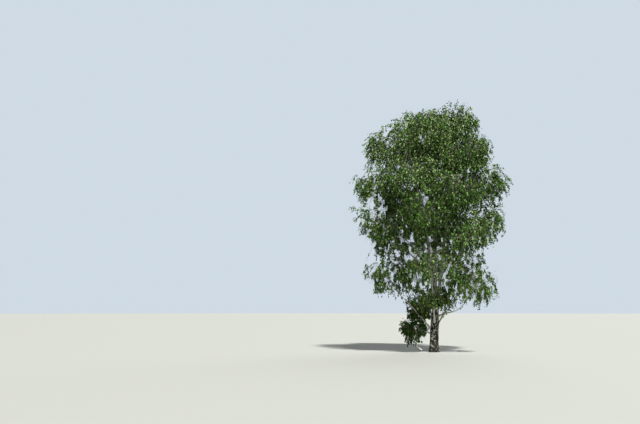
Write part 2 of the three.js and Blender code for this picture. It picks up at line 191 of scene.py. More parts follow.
def leader_controls(plan):
    """Fork, a bend half way up that keeps near the trunk's axis, and the tip."""
    lean = level(plan["turn"])
    start = np.array([TRUNK_LEAN, 0, FORK_HEIGHT - FORK_SUNK]) + lean * plan["thick"] * LEADER_ASIDE
    end = start + lean * plan["out"]
    end[2] = plan["top"]
    bend = start + lean * plan["out"] * plan["spread"]
    bend[2] += (plan["top"] - start[2]) / 2
    return np.array([start, bend, end])


def grow_bough(mass, parent, start_height, plan):
    """A cubic curve from the parent's axis to the near side of the mass, rising first, then arching."""
    start = point_at_height(parent, start_height)
    outward = mass["centre"] - start
    outward[2] = 0
    outward = unit(outward)
    run = plan["run"]
    end = mass["centre"] - outward * run["short"] * mass["wide"] - UP * run["under"] * mass["tall"]
    span = np.linalg.norm(end - start)
    rising = unit(outward + run["rising"] * UP)
    arching = unit(outward + run["arching"] * UP)
    controls = np.array([
        start,
        start + rising * span * RISING_SHARE,
        end - arching * span * ARCHING_SHARE,
        end,
    ])
    heading = curve_heading(controls, np.array([1.0]))[0]
    mass.update(entry=end + heading * JOINT_GAP, heading=heading, outward=outward,
                lean=STEM_LEAN, rise=STEM_RISE)
    add_limb("bough_" + mass["name"], controls, plan["thick"], BOUGH_TIP)


trunk_controls = np.array([
    (0, 0, 0),
    (TRUNK_LEAN * TRUNK_BEND, 0, FORK_HEIGHT / 2),
    (TRUNK_LEAN, 0, FORK_HEIGHT),
])
for plan in LEADERS:
    add_limb("leader_" + plan["name"], leader_controls(plan), plan["thick"], plan["thick"] * LEADER_TIP)
leader_curves = [limbs["leader_" + plan["name"]]["controls"] for plan in LEADERS]
print("leaders:", ", ".join(limbs))

# %% Where each mass of foliage stands
# Size and turn swing a little from mass to mass. The first of each tier makes the left edge that the
# photograph shows, and it keeps the plan's own numbers.
masses = []
low_mass = {"name": "low", "region": "low", "wide": LOW["wide"], "tall": LOW["tall"]}
low_mass["centre"] = level(LOW["turn"]) * LOW["out"] + UP * LOW["height"]
grow_bough(low_mass, trunk_controls, LOW["start"], LOW)
masses.append(low_mass)

for tier_number, tier in enumerate(TIERS):
    for i in range(tier["count"]):
        grow = 1 + SIZE_SWING * swing(tier_number, i, 3) * (i > 0)
        turn = tier["turn"] + 360 * i / tier["count"] + TURN_SWING * swing(tier_number, i, 1) * (i > 0)
        mass = {"name": f"{tier['name']}_{i + 1}", "region": tier["name"],
                "wide": tier["wide"] * grow, "tall": tier["tall"] * grow}
        mass["centre"] = level(turn) * min(tier["out"], CROWN_REACH - mass["wide"])
        mass["centre"][2] = tier["height"] + STAGGER * math.sin(math.radians(STAGGER_STEP * i))
        if tier_number == 0:
            step = (SKIRT_STRIDE * i) % tier["count"]
            grow_bough(mass, trunk_controls, SKIRT_START + SKIRT_STEP * step, tier)
        else:
            # From 0 to 180 degrees between each leader and the mass: its bough is on the nearest.
            apart = [abs((plan["turn"] - turn + 540) % 360 - 180) for plan in LEADERS]
            parent = leader_curves[int(np.argmin(apart))]
            grow_bough(mass, parent, mass["centre"][2] - tier["drop"], tier)
        masses.append(mass)
        if i == 0 and tier["name"] == STRAY["tier"]:
            mass["stray"] = level(turn) * STRAY["reach"] + UP * STRAY["height"]

for plan, controls in zip(LEADERS, leader_curves):
    tip = controls[-1]
    outward = level(plan["turn"])
    heading = curve_heading(controls, np.array([1.0]))[0]
    centre = tip - outward * TOP["inward"]
    centre[2] = min(tip[2] + TOP["up"], TREE_HEIGHT - TOP["tall"])
    masses.append({"name": "top_" + plan["name"], "region": "top", **TOP, "centre": centre,
                   "entry": tip + heading * JOINT_GAP, "heading": heading, "outward": outward})


def side_mass(name, plan, leader, turn, height):
    """A mass that grows out of a leader's side, some way below its own centre."""
    entry = point_at_height(leader_curves[leader], height - plan["below"])
    outward = level(turn)
    centre = outward * plan["out"] + UP * height
    masses.append({**plan, "name": name, "region": "inner", "centre": centre,
                   "entry": entry, "heading": unit(centre - entry), "outward": outward})


for i in range(INNER["count"]):
    height = INNER["low"] + (INNER["high"] - INNER["low"]) * i / (INNER["count"] - 1)
    n = i % len(LEADERS)
    side_mass(f"inner_{i + 1}", INNER, n, LEADERS[n]["turn"] + INNER["turned"], height)
side_mass("sprout", SPROUT, SPROUT["leader"], SPROUT["turn"], SPROUT["height"])
side_mass("spur", SPUR, SPUR["leader"], SPUR["turn"], SPUR["height"])
print(len(limbs), "limbs above the trunk and", len(masses), "masses of foliage")

# %% [markdown]
# ## The camera
# The photograph looks across a meadow from a little above eye height, with the far horizon between
# the tree's foot and its top. With the eye's height given, two rows in it fix the camera: the row of
# the tree's foot and the row of its top. The angles from the eye to the foot and to the top add up to
# the angle between those two rows, which gives one equation for the distance.

# %% Work out the camera and place it
PICTURE_WIDE = 640
PICTURE_TALL = 424
FOOT_COLUMN = 434
FOOT_ROW = 352
TOP_ROW = 102
FOCAL_PIXELS = 900
EYE_HEIGHT = 2.4
SENSOR = 36.0
VIEW_REACH = 1000

below = math.atan((FOOT_ROW - PICTURE_TALL / 2) / FOCAL_PIXELS)
above = math.atan((PICTURE_TALL / 2 - TOP_ROW) / FOCAL_PIXELS)
slope = math.tan(below + above)
over_eye = TREE_HEIGHT - EYE_HEIGHT
distance = (TREE_HEIGHT + math.sqrt(TREE_HEIGHT**2 + 4 * slope**2 * over_eye * EYE_HEIGHT)) / (2 * slope)
tilt = below - math.atan(EYE_HEIGHT / distance)
depth = distance * math.cos(tilt) - EYE_HEIGHT * math.sin(tilt)
aside = (FOOT_COLUMN - PICTURE_WIDE / 2) / FOCAL_PIXELS * depth
eye = np.array([-aside, -distance, EYE_HEIGHT])

camera = bpy.data.objects.new("camera", bpy.data.cameras.new("camera"))
camera.data.sensor_width = SENSOR
camera.data.lens = FOCAL_PIXELS / PICTURE_WIDE * SENSOR
camera.data.clip_end = VIEW_REACH
camera.location = eye
camera.rotation_euler = (math.pi / 2 + tilt, 0, 0)
bpy.context.scene.collection.objects.link(camera)
bpy.context.scene.camera = camera
print(f"eye {distance:.1f} m away, tilted up {math.degrees(tilt):.1f} degrees")

# %% [markdown]
# ## From arrays to a mesh
# Blender can build a mesh face by face, but a tree has hundreds of thousands of faces. So each
# piece is worked out as whole arrays of corners and faces, and put into the mesh in one go.

# %% Make a mesh from arrays
def make_mesh(name, corners, faces, materials, shade_smooth=False, face_material=None):
    """A new object at the origin. corners is (n, 3), and faces is a list of index arrays, one row to
    a face, of any number of columns. face_material gives each face its place in materials."""
    mesh = bpy.data.meshes.new(name)
    sizes = np.concatenate([np.full(len(group), group.shape[1]) for group in faces])
    loops = np.concatenate([group.ravel() for group in faces]).astype(np.int32)
    mesh.vertices.add(len(corners))
    mesh.vertices.foreach_set("co", corners.astype(np.float32).ravel())
    mesh.loops.add(len(loops))
    mesh.loops.foreach_set("vertex_index", loops)
    mesh.polygons.add(len(sizes))
    mesh.polygons.foreach_set("loop_start", (np.cumsum(sizes) - sizes).astype(np.int32))
    mesh.polygons.foreach_set("use_smooth", np.full(len(sizes), shade_smooth))
    for material in materials:
        mesh.materials.append(material)
    if face_material is not None:
        mesh.polygons.foreach_set("material_index", face_material.astype(np.int32))
    mesh.update(calc_edges=True)
    piece = bpy.data.objects.new(name, mesh)
    bpy.context.scene.collection.objects.link(piece)
    return piece


def give_value(piece, name, values):
    """Stores one number, or one vector, for each corner of a piece, for its material to read."""
    kind = "FLOAT_VECTOR" if values.ndim > 1 else "FLOAT"
    field = "vector" if values.ndim > 1 else "value"
    attribute = piece.data.attributes.new(name, kind, "POINT")
    attribute.data.foreach_set(field, values.astype(np.float32).ravel())


def triangle_count(piece):
    """Triangles in a mesh: a face with n corners counts as n - 2."""
    sizes = np.zeros(len(piece.data.polygons), np.int32)
    piece.data.polygons.foreach_get("loop_total", sizes)
    return int((sizes - 2).sum())


print("ready to make meshes")

# %% [markdown]
# ## Materials: helpers
# Materials here are made of nodes. The helpers add a node, set its sockets and join it up, so that
# each recipe below reads like a list of steps.

# %% Node helpers
def add_node(tree, kind, settings=None, **inputs):
    """Adds a node. settings are its own options. inputs are values, or sockets to join, by name, or
    by number as i0, i1 and so on."""
    node = tree.nodes.new(kind)
    for key, value in (settings or {}).items():
        setattr(node, key, value)
    for key, value in inputs.items():
        by_number = key[0] == "i" and key[1:].isdigit()
        socket = node.inputs[int(key[1:]) if by_number else key.replace("_", " ")]
        if isinstance(value, bpy.types.NodeSocket):
            tree.links.new(value, socket)
        else:
            socket.default_value = value
    return node


def math_node(tree, operation, first, second=0.0):
    """One sum: the operation on two numbers or sockets."""
    return add_node(tree, "ShaderNodeMath", {"operation": operation}, i0=first, i1=second).outputs[0]


def scaled(tree, value, factor, start):
    """start + factor value."""
    return math_node(tree, "ADD", start, math_node(tree, "MULTIPLY", value, factor))


def band(tree, value, low, high):
    """A smooth mask: 0 below low, 1 above high."""
    node = add_node(tree, "ShaderNodeMapRange", {"interpolation_type": "SMOOTHSTEP"},
                    Value=value, From_Min=low, From_Max=high)
    return node.outputs["Result"]


def mixed(tree, share, first, second):
    """The first colour where share is 0, and the second where it is 1."""
    node = add_node(tree, "ShaderNodeMix", {"data_type": "RGBA"}, i0=share, i6=first, i7=second)
    return node.outputs[2]


def noise(tree, place, scale, stretch=(1, 1, 1), detail=3.0):
    """Noise at a place that is stretched first, so that its blots can be long or flat."""
    spread = add_node(tree, "ShaderNodeVectorMath", {"operation": "MULTIPLY"}, i0=place, i1=stretch)
    node = add_node(tree, "ShaderNodeTexNoise", None, Vector=spread.outputs[0], Scale=scale,
                    Detail=detail)
    return node.outputs["Fac"]


def new_group(name, inputs, outputs):
    """An empty node group with named sockets. Its inputs are (name, kind, value), and its outputs
    (name, kind)."""
    group = bpy.data.node_groups.new(name, "ShaderNodeTree")
    for socket_name, kind, value in inputs:
        socket = group.interface.new_socket(socket_name, in_out="INPUT", socket_type="NodeSocket" + kind)
        if value is not None:
            socket.default_value = value
    for socket_name, kind in outputs:
        group.interface.new_socket(socket_name, in_out="OUTPUT", socket_type="NodeSocket" + kind)
    return group, group.nodes.new("NodeGroupInput").outputs, group.nodes.new("NodeGroupOutput").inputs


def new_material(name):
    """A material with only the Principled shader and the output, and its node tree."""
    material = bpy.data.materials.new(name)
    material.use_nodes = True
    return material, material.node_tree, material.node_tree.nodes["Principled BSDF"]


def join_finish(tree, shader, finish, bump, depth, gloss):
    """Joins a finish group to the shader: its colour, its roughness, and a bump of its height."""
    lift = add_node(tree, "ShaderNodeBump", None, Strength=bump, Distance=depth,
                    Height=finish.outputs["Height"])
    tree.links.new(finish.outputs["Color"], shader.inputs["Base Color"])
    tree.links.new(finish.outputs["Roughness"], shader.inputs["Roughness"])
    tree.links.new(lift.outputs["Normal"], shader.inputs["Normal"])
    shader.inputs["Specular IOR Level"].default_value = gloss


print("node helpers ready")

# %% [markdown]
# ## Birch bark
# Young birch bark is a pale paper with dark level dashes, the lenticels, through which it breathes.
# Old bark at the foot of the trunk splits into black furrows with pale plates between. Where a
# bough leaves, the bark folds into a dark eyebrow.
# One group paints all of this. It could read the object's coordinates, but then the dashes would
# not turn with a leaning limb. So each limb stores `bark_place`: its bark as if the limb stood
# straight, in metres. It also stores where the bark is scarred or furrowed, how old it is, and how
# near a bough leaves it.

# %% The bark group
FILM_TINT = (0.42, 0.36, 0.28, 1)
DASH_TINT = (0.07, 0.055, 0.045, 1)
CRUST_DARK = (0.005, 0.0045, 0.004, 1)
CRUST_PALE = (0.034, 0.031, 0.028, 1)
FURROW_TINT = (0.01, 0.009, 0.008, 1)
BROW_TINT = (0.035, 0.03, 0.027, 1)
# Scale, stretch and detail of each noise.
GRAIN = (55, (1, 1, 0.5), 3)
CLOUD = (1.6, (1, 1, 0.6), 4)
FILM = (9, (1, 1, 2.5), 4)
DASHES = (1, (7, 7, 62), 2)
FRAY = (24, (1, 1, 0.6), 5)
# The two values between which each mask rises.
STAINED = (0.38, 0.66)
FILMED = (0.5, 0.7)
DASHED = (0.6, 0.66)
CRUSTED = (0.72, 0.92)
PALE_CRUST = (0.42, 0.62)
BROWED = (0.62, 0.85)
# How much of each layer shows, and how much a noise frays an edge or lifts the surface.
FILM_SHOWS = 0.35
DASH_SHOWS = 0.85
BROW_SHOWS = 0.9
CRUST_FRAYS = 0.7
BROW_FRAYS = 0.35
GRAIN_LIFTS = 0.4
# The factor on the film's noise, and what it is added to.
BARK_ROUGHNESS = (0.3, 0.62)


def bark_group():
    """Paints paper, dashes, scars, furrows and eyebrows over each other, in that order."""
    group, given, wanted = new_group(
        "birch bark",
        [("Place", "Vector", None), ("Furrow", "Float", 0.0), ("Scar", "Float", 0.0),
         ("Age", "Float", 0.0), ("Eyebrow", "Float", 0.0), ("Paper", "Color", (0.6, 0.58, 0.52, 1)),
         ("Stain", "Color", (0.34, 0.31, 0.27, 1))],
        [("Color", "Color"), ("Roughness", "Float"), ("Height", "Float")],
    )
    place = given["Place"]
    grain = noise(group, place, *GRAIN)
    cloud = noise(group, place, *CLOUD)
    paper = mixed(group, band(group, cloud, *STAINED), given["Paper"], given["Stain"])
    film = noise(group, place, *FILM)
    filmed = math_node(group, "MULTIPLY", band(group, film, *FILMED), FILM_SHOWS)
    paper = mixed(group, filmed, paper, FILM_TINT)

    young = math_node(group, "SUBTRACT", 1.0, given["Age"])
    dash_noise = noise(group, place, *DASHES)
    dashes = math_node(group, "MULTIPLY", band(group, dash_noise, *DASHED), young)
    painted = mixed(group, math_node(group, "MULTIPLY", dashes, DASH_SHOWS), paper, DASH_TINT)

    fray = noise(group, place, *FRAY)
    crusted = band(group, scaled(group, fray, CRUST_FRAYS, given["Scar"]), *CRUSTED)
    crust = mixed(group, band(group, grain, *PALE_CRUST), CRUST_DARK, CRUST_PALE)
    painted = mixed(group, crusted, painted, crust)
    painted = mixed(group, given["Furrow"], painted, FURROW_TINT)
    browed = band(group, scaled(group, film, BROW_FRAYS, given["Eyebrow"]), *BROWED)
    painted = mixed(group, math_node(group, "MULTIPLY", browed, BROW_SHOWS), painted, BROW_TINT)

    height = math_node(group, "SUBTRACT", math_node(group, "MULTIPLY", grain, GRAIN_LIFTS), dashes)
    group.links.new(painted, wanted["Color"])
    group.links.new(scaled(group, film, *BARK_ROUGHNESS), wanted["Roughness"])
    group.links.new(height, wanted["Height"])
    return group


BARK_GROUP = bark_group()
print("the bark group has", len(BARK_GROUP.nodes), "nodes")

# %% Four barks
GRAIN_DEPTH = 0.004
BARK_GLOSS = 0.25


def bark_material(name, paper, stain, bump):
    """A bark: the shared group with this limb's own paper and stain, and a bump of its fine grain."""
    material, tree, shader = new_material(name)
    bark = add_node(tree, "ShaderNodeGroup", {"node_tree": BARK_GROUP}, Paper=paper, Stain=stain)
    for key in ("Place", "Furrow", "Scar", "Age", "Eyebrow"):
        stored = add_node(tree, "ShaderNodeAttribute", {"attribute_name": "bark_" + key.lower()})
        tree.links.new(stored.outputs["Vector" if key == "Place" else "Fac"], bark.inputs[key])
    join_finish(tree, shader, bark, bump, GRAIN_DEPTH, BARK_GLOSS)
    return material


# The trunk's paper is darker and greener than birch paper: part moss, part painted shade of the crown
# over it.
TRUNK_BARK = bark_material("trunk_bark", (0.4, 0.41, 0.34, 1), (0.12, 0.125, 0.095, 1), 0.8)
LEADER_BARK = bark_material("leader_bark", (0.74, 0.735, 0.69, 1), (0.46, 0.445, 0.4, 1), 0.5)
BOUGH_BARK = bark_material("bough_bark", (0.66, 0.65, 0.6, 1), (0.38, 0.36, 0.32, 1), 0.4)
# The paper bark is whiter than the other boughs' bark: painted light on the pale boughs, the low stem
# and the bare shoot, which hang in the crown's shade.
PAPER_BARK = bark_material("paper_bark", (0.86, 0.86, 0.8, 1), (0.66, 0.65, 0.58, 1), 0.3)
print("four barks use the group", BARK_GROUP.users, "times")

# %% [markdown]
# ## The relief of the bark
# Paint alone leaves a trunk's edge smooth. Here the surface itself is pushed in and out by a
# function of place: furrows from ridged noise, plates and crusted scars between them, and a swelling
# where each bough leaves. `soft_noise` blends a chance value at the eight corners of the cell round
# each place.

# %% Noise as numbers
def soft_noise(place, seed):
    """Noise from 0 to 1 at (n, 3) places: corner values blended by 3s^2 - 2s^3 along each axis."""
    cell = np.floor(place)
    share = place - cell
    share = share * share * (3 - 2 * share)
    total = np.zeros(len(place))
    for corner in itertools.product((0, 1), repeat=3):
        weight = np.prod(np.where(np.array(corner) == 1, share, 1 - share), axis=1)
        at = cell + corner
        total += weight * chance(at[:, 0] + seed, at[:, 1], at[:, 2])
    return total


def smooth_step(value, low, high):
    """0 below low, 1 above high, and 3s^2 - 2s^3 between."""
    share = np.clip((value - low) / (high - low), 0, 1)
    return share * share * (3 - 2 * share)


print("the noise at the origin is", round(float(soft_noise(np.zeros((1, 3)), 1.0)[0]), 6))

# %% Age, furrows, scars and relief
FURROW_DEPTH = 0.017
SCAR_LIFT = 0.008
PLATE_LIFT = 0.006
RING_LIFT = 0.0012
LUMP_LIFT = 0.006
YOUNG_LUMPS = 0.4
AGE_SWING = 0.4
SCAR_LEVEL = 0.34
YOUNG_LEVEL = 0.5
BROAD_SHARE = 0.45
SCAR_EDGE = 0.06
# Where the age's swing, the ridges and the splitting of old bark set in, and where they are whole.
OLD_ENOUGH = (0.02, 0.3)
RIDGES = (0.7, 0.96)
SPLIT_AGES = (0.12, 0.55)
# How many lumps of each noise there are to a metre round the limb, through it and along it.
BLOTS_PER_METRE = np.array([7.0, 7.0, 3.0])
FURROWS_PER_METRE = np.array([11.0, 11.0, 3.4])
BROAD_PER_METRE = np.array([11.0, 11.0, 7.0])
RAGGED_PER_METRE = np.array([32.0, 32.0, 19.0])
PLATES_PER_METRE = np.array([14.0, 14.0, 8.0])
LUMPS_PER_METRE = np.array([5.0, 5.0, 2.2])
RINGS_PER_METRE = np.array([5.0, 5.0, 60.0])
BENDS_PER_METRE = 4.0
SCAR_BENDS_PER_METRE = 8.0
FURROW_BEND = np.array([1.5, 1.5, 0.8])
SCAR_BEND = np.array([0.1, -0.1, 0.14])


def bark_age(place, age):
    """The age from 0 to 1, moved by up to a fifth by tall blots of noise, so that no level line
    shows where the old bark ends. New bark, of age 0, stays new."""
    blots = soft_noise(place * BLOTS_PER_METRE, 8.0) - 0.5
    return np.clip(age + AGE_SWING * blots * smooth_step(age, *OLD_ENOUGH), 0, 1)


def furrows(place, age):
    """Long cracks: a ridge stands where noise passes a half, and only old bark has split there. A
    slower noise bends the places first, so that the cracks wander."""
    bend = soft_noise(place * BENDS_PER_METRE, 5.0)[:, None] * FURROW_BEND
    ridge = 1 - np.abs(2 * soft_noise(place * FURROWS_PER_METRE + bend, 1.0) - 1)
    return smooth_step(ridge, *RIDGES) * smooth_step(age, *SPLIT_AGES)


def scars(place, age):
    """Black crusted patches, where the paper has burst: 1 where a mix of two noises is over a level.
    The level rises as the bark gets younger, so the patches grow fewer and smaller up the tree. A
    third noise bends the places first, so that no row or column shows."""
    bent = place + (soft_noise(place * SCAR_BENDS_PER_METRE, 9.0)[:, None] - 0.5) * SCAR_BEND
    broad = soft_noise(bent * BROAD_PER_METRE, 6.0)
    ragged = soft_noise(bent * RAGGED_PER_METRE, 7.0)
    height = BROAD_SHARE * broad + (1 - BROAD_SHARE) * ragged
    return smooth_step(height - SCAR_LEVEL - YOUNG_LEVEL * (1 - age), 0, SCAR_EDGE)


def bark_relief(place, age, furrow, scar):
    """How far the bark stands out, in metres: plates, lumps, crusted scars and fine rings, less the
    furrows. Plates and furrows come with age, and lumps grow with it."""
    plates = soft_noise(place * PLATES_PER_METRE, 2.0) - 0.5
    lumps = soft_noise(place * LUMPS_PER_METRE, 3.0) - 0.5
    rings = soft_noise(place * RINGS_PER_METRE, 4.0) - 0.5
    lump_size = YOUNG_LUMPS + (1 - YOUNG_LUMPS) * age
    return (PLATE_LIFT * plates * age + LUMP_LIFT * lumps * lump_size + SCAR_LIFT * scar
            + RING_LIFT * rings - FURROW_DEPTH * furrow * age)


print("furrows are", FURROW_DEPTH * 1000, "mm deep at the foot")

# %% [markdown]
# ## A limb as one surface
# Trunk, leaders and boughs are all the same kind of surface: rings carried along a curve, with the
# radius a function of two parameters, the share of the way along and the angle round. Each limb
# runs on a little inside its parent, where nobody sees it, so no gap opens at a joint.

# %% Carry rings along a curve
def length_along(points):
    """The distance along a line of points, from the first to each."""
    return np.concatenate([[0], np.cumsum(np.linalg.norm(np.diff(points, axis=0), axis=1))])


def ring_frames(points, headings):
    """Two level-ish directions across each ring. The first is square to the heading and to the one
    world axis that the whole limb leans on least, so the rings don't twist."""
    overall = points[-1] - points[0]
    reference = np.eye(3)[np.argmin(np.abs(overall))]
    across = unit(np.cross(reference, headings))
    return across, np.cross(headings, across)


def tube_faces(rings, sides):
    """Faces with four corners between neighbouring rings, and a fan to the pole at each end. The two
    poles are the last corners."""
    i = np.arange(rings - 1)[:, None] * sides
    j = np.arange(sides)[None, :]
    k = (j + 1) % sides
    quads = np.stack([i + j, i + k, i + k + sides, i + j + sides], axis=-1).reshape(-1, 4)
    j, k = j[0], k[0]
    last = (rings - 1) * sides
    foot = np.stack([k, j, np.full(sides, rings * sides)], axis=1)
    tip = np.stack([last + j, last + k, np.full(sides, rings * sides + 1)], axis=1)
    return [quads, np.vstack([foot, tip])]


print("two rings of three sides have", [len(group) for group in tube_faces(2, 3)], "faces")

# %% A limb as a closed surface
BROW_REACH = 2.6
BROW_SWELL = 0.5
BROW_ABOVE = 1.1
BROW_FALL = 0.9
BROW_THICK = 0.9
SMOOTH_FURROW = 0.3


def eyebrows(skin, marks):
    """The eyebrow mask and the swelling at each point of the skin. Both fade with the distance from
    where a bough leaves, and the brow is a line over the bough that falls away to both sides."""
    mask = np.zeros(len(skin))
    swelling = np.zeros(len(skin))
    for spot, size in marks:
        offset = skin - spot
        near = np.exp(-(offset**2).sum(axis=1) / (BROW_REACH * size) ** 2)
        swelling = np.maximum(swelling, BROW_SWELL * size * near)
        above = offset[:, 2] - BROW_ABOVE * size + BROW_FALL * np.hypot(offset[:, 0], offset[:, 1])
        mask = np.maximum(mask, np.exp(-(above / (BROW_THICK * size)) ** 2) * near**0.4)
    return mask, swelling


def limb_surface(name, points, headings, radius, age, marks, material, flat=False):
    """A closed tube: ring i is points[i] + radius[i, j] (cos a_j across + sin a_j over), with one
    pole at each end. age is one number to a ring, and marks are places where boughs leave. A flat
    limb has level rings, and its foot stays plain, to stand on the ground."""
    rings, sides = radius.shape
    angles = np.arange(sides) * 2 * math.pi / sides
    across, over = ring_frames(points, headings)
    if flat:
        across = np.tile(level(0), (rings, 1))
        over = np.tile(level(90), (rings, 1))
    around = (np.cos(angles)[None, :, None] * across[:, None, :]
              + np.sin(angles)[None, :, None] * over[:, None, :])
    along = length_along(points)
    place = np.stack([np.cos(angles)[None, :] * radius, np.sin(angles)[None, :] * radius,
                      np.repeat(along[:, None], sides, axis=1)], axis=-1).reshape(-1, 3)
    ages = bark_age(place, np.repeat(age, sides))
    scar = scars(place, ages)
    furrow = furrows(place, ages) * (SMOOTH_FURROW + (1 - SMOOTH_FURROW) * scar)
    smooth_skin = (points[:, None, :] + radius[..., None] * around).reshape(-1, 3)
    eyebrow, swelling = eyebrows(smooth_skin, marks)
    pushed = radius + (bark_relief(place, ages, furrow, scar) + swelling).reshape(rings, sides)
    if flat:
        pushed[0] = radius[0]
    skin = (points[:, None, :] + pushed[..., None] * around).reshape(-1, 3)

    corners = np.vstack([skin, points[[0, -1]]])
    piece = make_mesh(name, corners, tube_faces(rings, sides), [material], shade_smooth=True)
    pole_place = np.array([[0, 0, along[0]], [0, 0, along[-1]]])
    give_value(piece, "bark_place", np.vstack([place, pole_place]))
    for key, values in (("bark_furrow", furrow), ("bark_scar", scar), ("bark_age", ages),
                        ("bark_eyebrow", eyebrow)):
        give_value(piece, key, np.append(values, [values[0], values[-1]]))
    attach(piece, "root")
    return piece


print("limbs can be skinned")

# %% [markdown]
# ## The trunk
# The trunk is the roughest piece. Its foot spreads into five ribs that carry on into the roots, and
# its head is a dome between the leaders, because a fork is a swelling and not a flat cut. The bark
# gets a little younger towards the fork, so more white paper shows between the black scars.

# %% Skin the trunk
OUT_OF_SKIN = 1.15
TRUNK_RINGS = 300
TRUNK_SIDES = 144
HEAD_HEIGHT = 0.3
DOME_BELOW_FORK = 0.12
LEAST_SQUARE = 0.0004
HEAD_YOUNGER = 0.35
YOUNGER_HEIGHTS = (0.6, 2.3)


def where_it_leaves(name, parent_radius):
    """The spot on a parent's skin where a limb comes out, and how thick the limb is there."""
    limb = limbs[name]
    t = np.linspace(0, 1, 201)
    points = curve_at(limb["controls"], t)
    out = np.linalg.norm(points - points[0], axis=1)
    step = int(np.argmax(out > parent_radius * OUT_OF_SKIN))
    return points[step], limb["thick"]


t = np.linspace(0, 1, TRUNK_RINGS)
trunk_top = FORK_HEIGHT + HEAD_HEIGHT
trunk_points = curve_at(trunk_controls, t) * np.array([1, 1, trunk_top / FORK_HEIGHT])
height = trunk_points[:, 2]
angles = np.arange(TRUNK_SIDES) * 2 * math.pi / TRUNK_SIDES
ribs = 1 + RIB_SHARE * np.cos(FLARE_RIBS * angles)[None, :]
plain = TRUNK_RADIUS * (1 - TRUNK_TAPER * np.clip(height / FORK_HEIGHT, 0, 1))[:, None]
trunk_radius = plain + FLARE * ribs * np.exp(-height / FLARE_HEIGHT)[:, None]
dome_start = FORK_HEIGHT - DOME_BELOW_FORK
dome = np.clip((height - dome_start) / (trunk_top - dome_start), 0, 1)
trunk_radius = trunk_radius * np.sqrt(np.maximum(1 - dome**2, LEAST_SQUARE))[:, None]
trunk_age = 1 - HEAD_YOUNGER * smooth_step(height, *YOUNGER_HEIGHTS)
trunk_marks = [where_it_leaves("bough_" + mass["name"], TRUNK_RADIUS) for mass in masses
               if mass["region"] in ("low", "skirt")]
trunk = limb_surface("trunk_skin", trunk_points, np.tile(UP, (TRUNK_RINGS, 1)), trunk_radius,
                     trunk_age, trunk_marks, TRUNK_BARK, flat=True)
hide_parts("trunk")
print("trunk skin:", triangle_count(trunk), "triangles,", len(trunk_marks), "bough eyebrows")

# %% [markdown]
# ## Leaders and boughs
# A leader's bark is rough at its foot and smooths out over about two metres. A bough swells into a
# collar where it comes out of its parent: the radius gets `1 + 0.8 exp(-distance / 2.5 radii)`, which
# dies out quickly. A bough starts on its parent's axis, so the distance is counted from the parent's
# skin. A leader has no collar but is drawn in a little at its root, to rise from inside the trunk's
# domed head. The two lowest boughs on the left are the palest: white paper, made whiter than the
# other boughs' bark as painted light, because they hang in the crown's shade.

# %% Skin the leaders and boughs
COLLAR = 0.8
TUCK = -0.16
COLLAR_REACH = 2.5
LEADER_RADIUS = 0.08
STEEP = 1.4
ON_AXIS = 0.03
LEADER_GRID = (420, 40)
BOUGH_GRID = (90, 14)
LEADER_AGE = (0.62, 1.3)
BOUGH_AGE = (0.25, 0.4)
PALE_BOUGHS = ("bough_low", "bough_skirt_1")


def skin_limb(name, grid, age, marks, material, collar, inside=0.0):
    """A limb's tube with an even taper, and a collar where it comes out, `inside` along it. grid is
    its rings and sides, and age is its age at the root and the distance over which that fades."""
    limb = limbs[name]
    rings, sides = grid
    t = np.linspace(0, 1, rings)
    points = curve_at(limb["controls"], t)
    along = length_along(points)
    radius = limb["thick"] + (limb["tip"] - limb["thick"]) * t
    outside = np.maximum(along - inside, 0)
    radius = radius * (1 + collar * np.exp(-outside / (COLLAR_REACH * limb["thick"])))
    piece = limb_surface(name + "_skin", points, curve_heading(limb["controls"], t),
                         np.repeat(radius[:, None], sides, axis=1), age[0] * np.exp(-along / age[1]),
                         marks, material)
    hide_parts(name)
    return piece


bough_names = [name for name in limbs if name.startswith("bough_")]
skin_triangles = triangle_count(trunk)
for plan, controls in zip(LEADERS, leader_curves):
    dense = curve_at(controls, np.linspace(0, 1, 400))
    marks = [where_it_leaves(name, LEADER_RADIUS) for name in bough_names
             if np.linalg.norm(dense - limbs[name]["controls"][0], axis=1).min() < ON_AXIS]
    piece = skin_limb("leader_" + plan["name"], LEADER_GRID, LEADER_AGE, marks, LEADER_BARK, TUCK)
    skin_triangles += triangle_count(piece)
    print(piece.name, "has", len(marks), "boughs")

for name in bough_names:
    # The pale boughs get the whiter paper bark, with its painted light.
    bark = PAPER_BARK if name in PALE_BOUGHS else BOUGH_BARK
    on_trunk = name == "bough_low" or "skirt" in name
    inside = STEEP * (TRUNK_RADIUS if on_trunk else LEADER_RADIUS)
    piece = skin_limb(name, BOUGH_GRID, BOUGH_AGE, [], bark, COLLAR, inside)
    skin_triangles += triangle_count(piece)
print("all the bark:", skin_triangles, "triangles")

# %% [markdown]
# ## Foliage: twigs by the rule
# Each mass grows in four steps: the stem, branches spread evenly over its egg-shaped space, twigs
# off the branches, and thin shoots that hang from the twigs. The branches are those of the solid
# model, with three more between each pair, and the bough itself bears twigs too. So does the stem in
# the two top tiers, because the crown is open to the sky there. What would leave the space, reach the
# grass or run into a limb isn't grown. In the heart of the crown, an egg round the trunk's axis, a
# twig may leave its mass, because there the masses hide their own edges.

# %% Tests for what may grow
EDGE = 0.87
EDGE_SWING = 0.26
SMALL_EDGE = 0.72
SMALL_SWING = 0.56
SMALL_MASS = 1.0
EDGE_LUMPS = 3.7
CROWDING = 3.0
HEART = {"centre": np.array([0, 0, 7.4]), "wide": 3.1, "tall": 5.6}
PLANE_OVERLAP = 0.1
TWIG_OVERLAP = 0.6
BOUGH_OVERLAP = 2.5
GROUND_GAP = 0.3
LIMB_GAP = 0.03

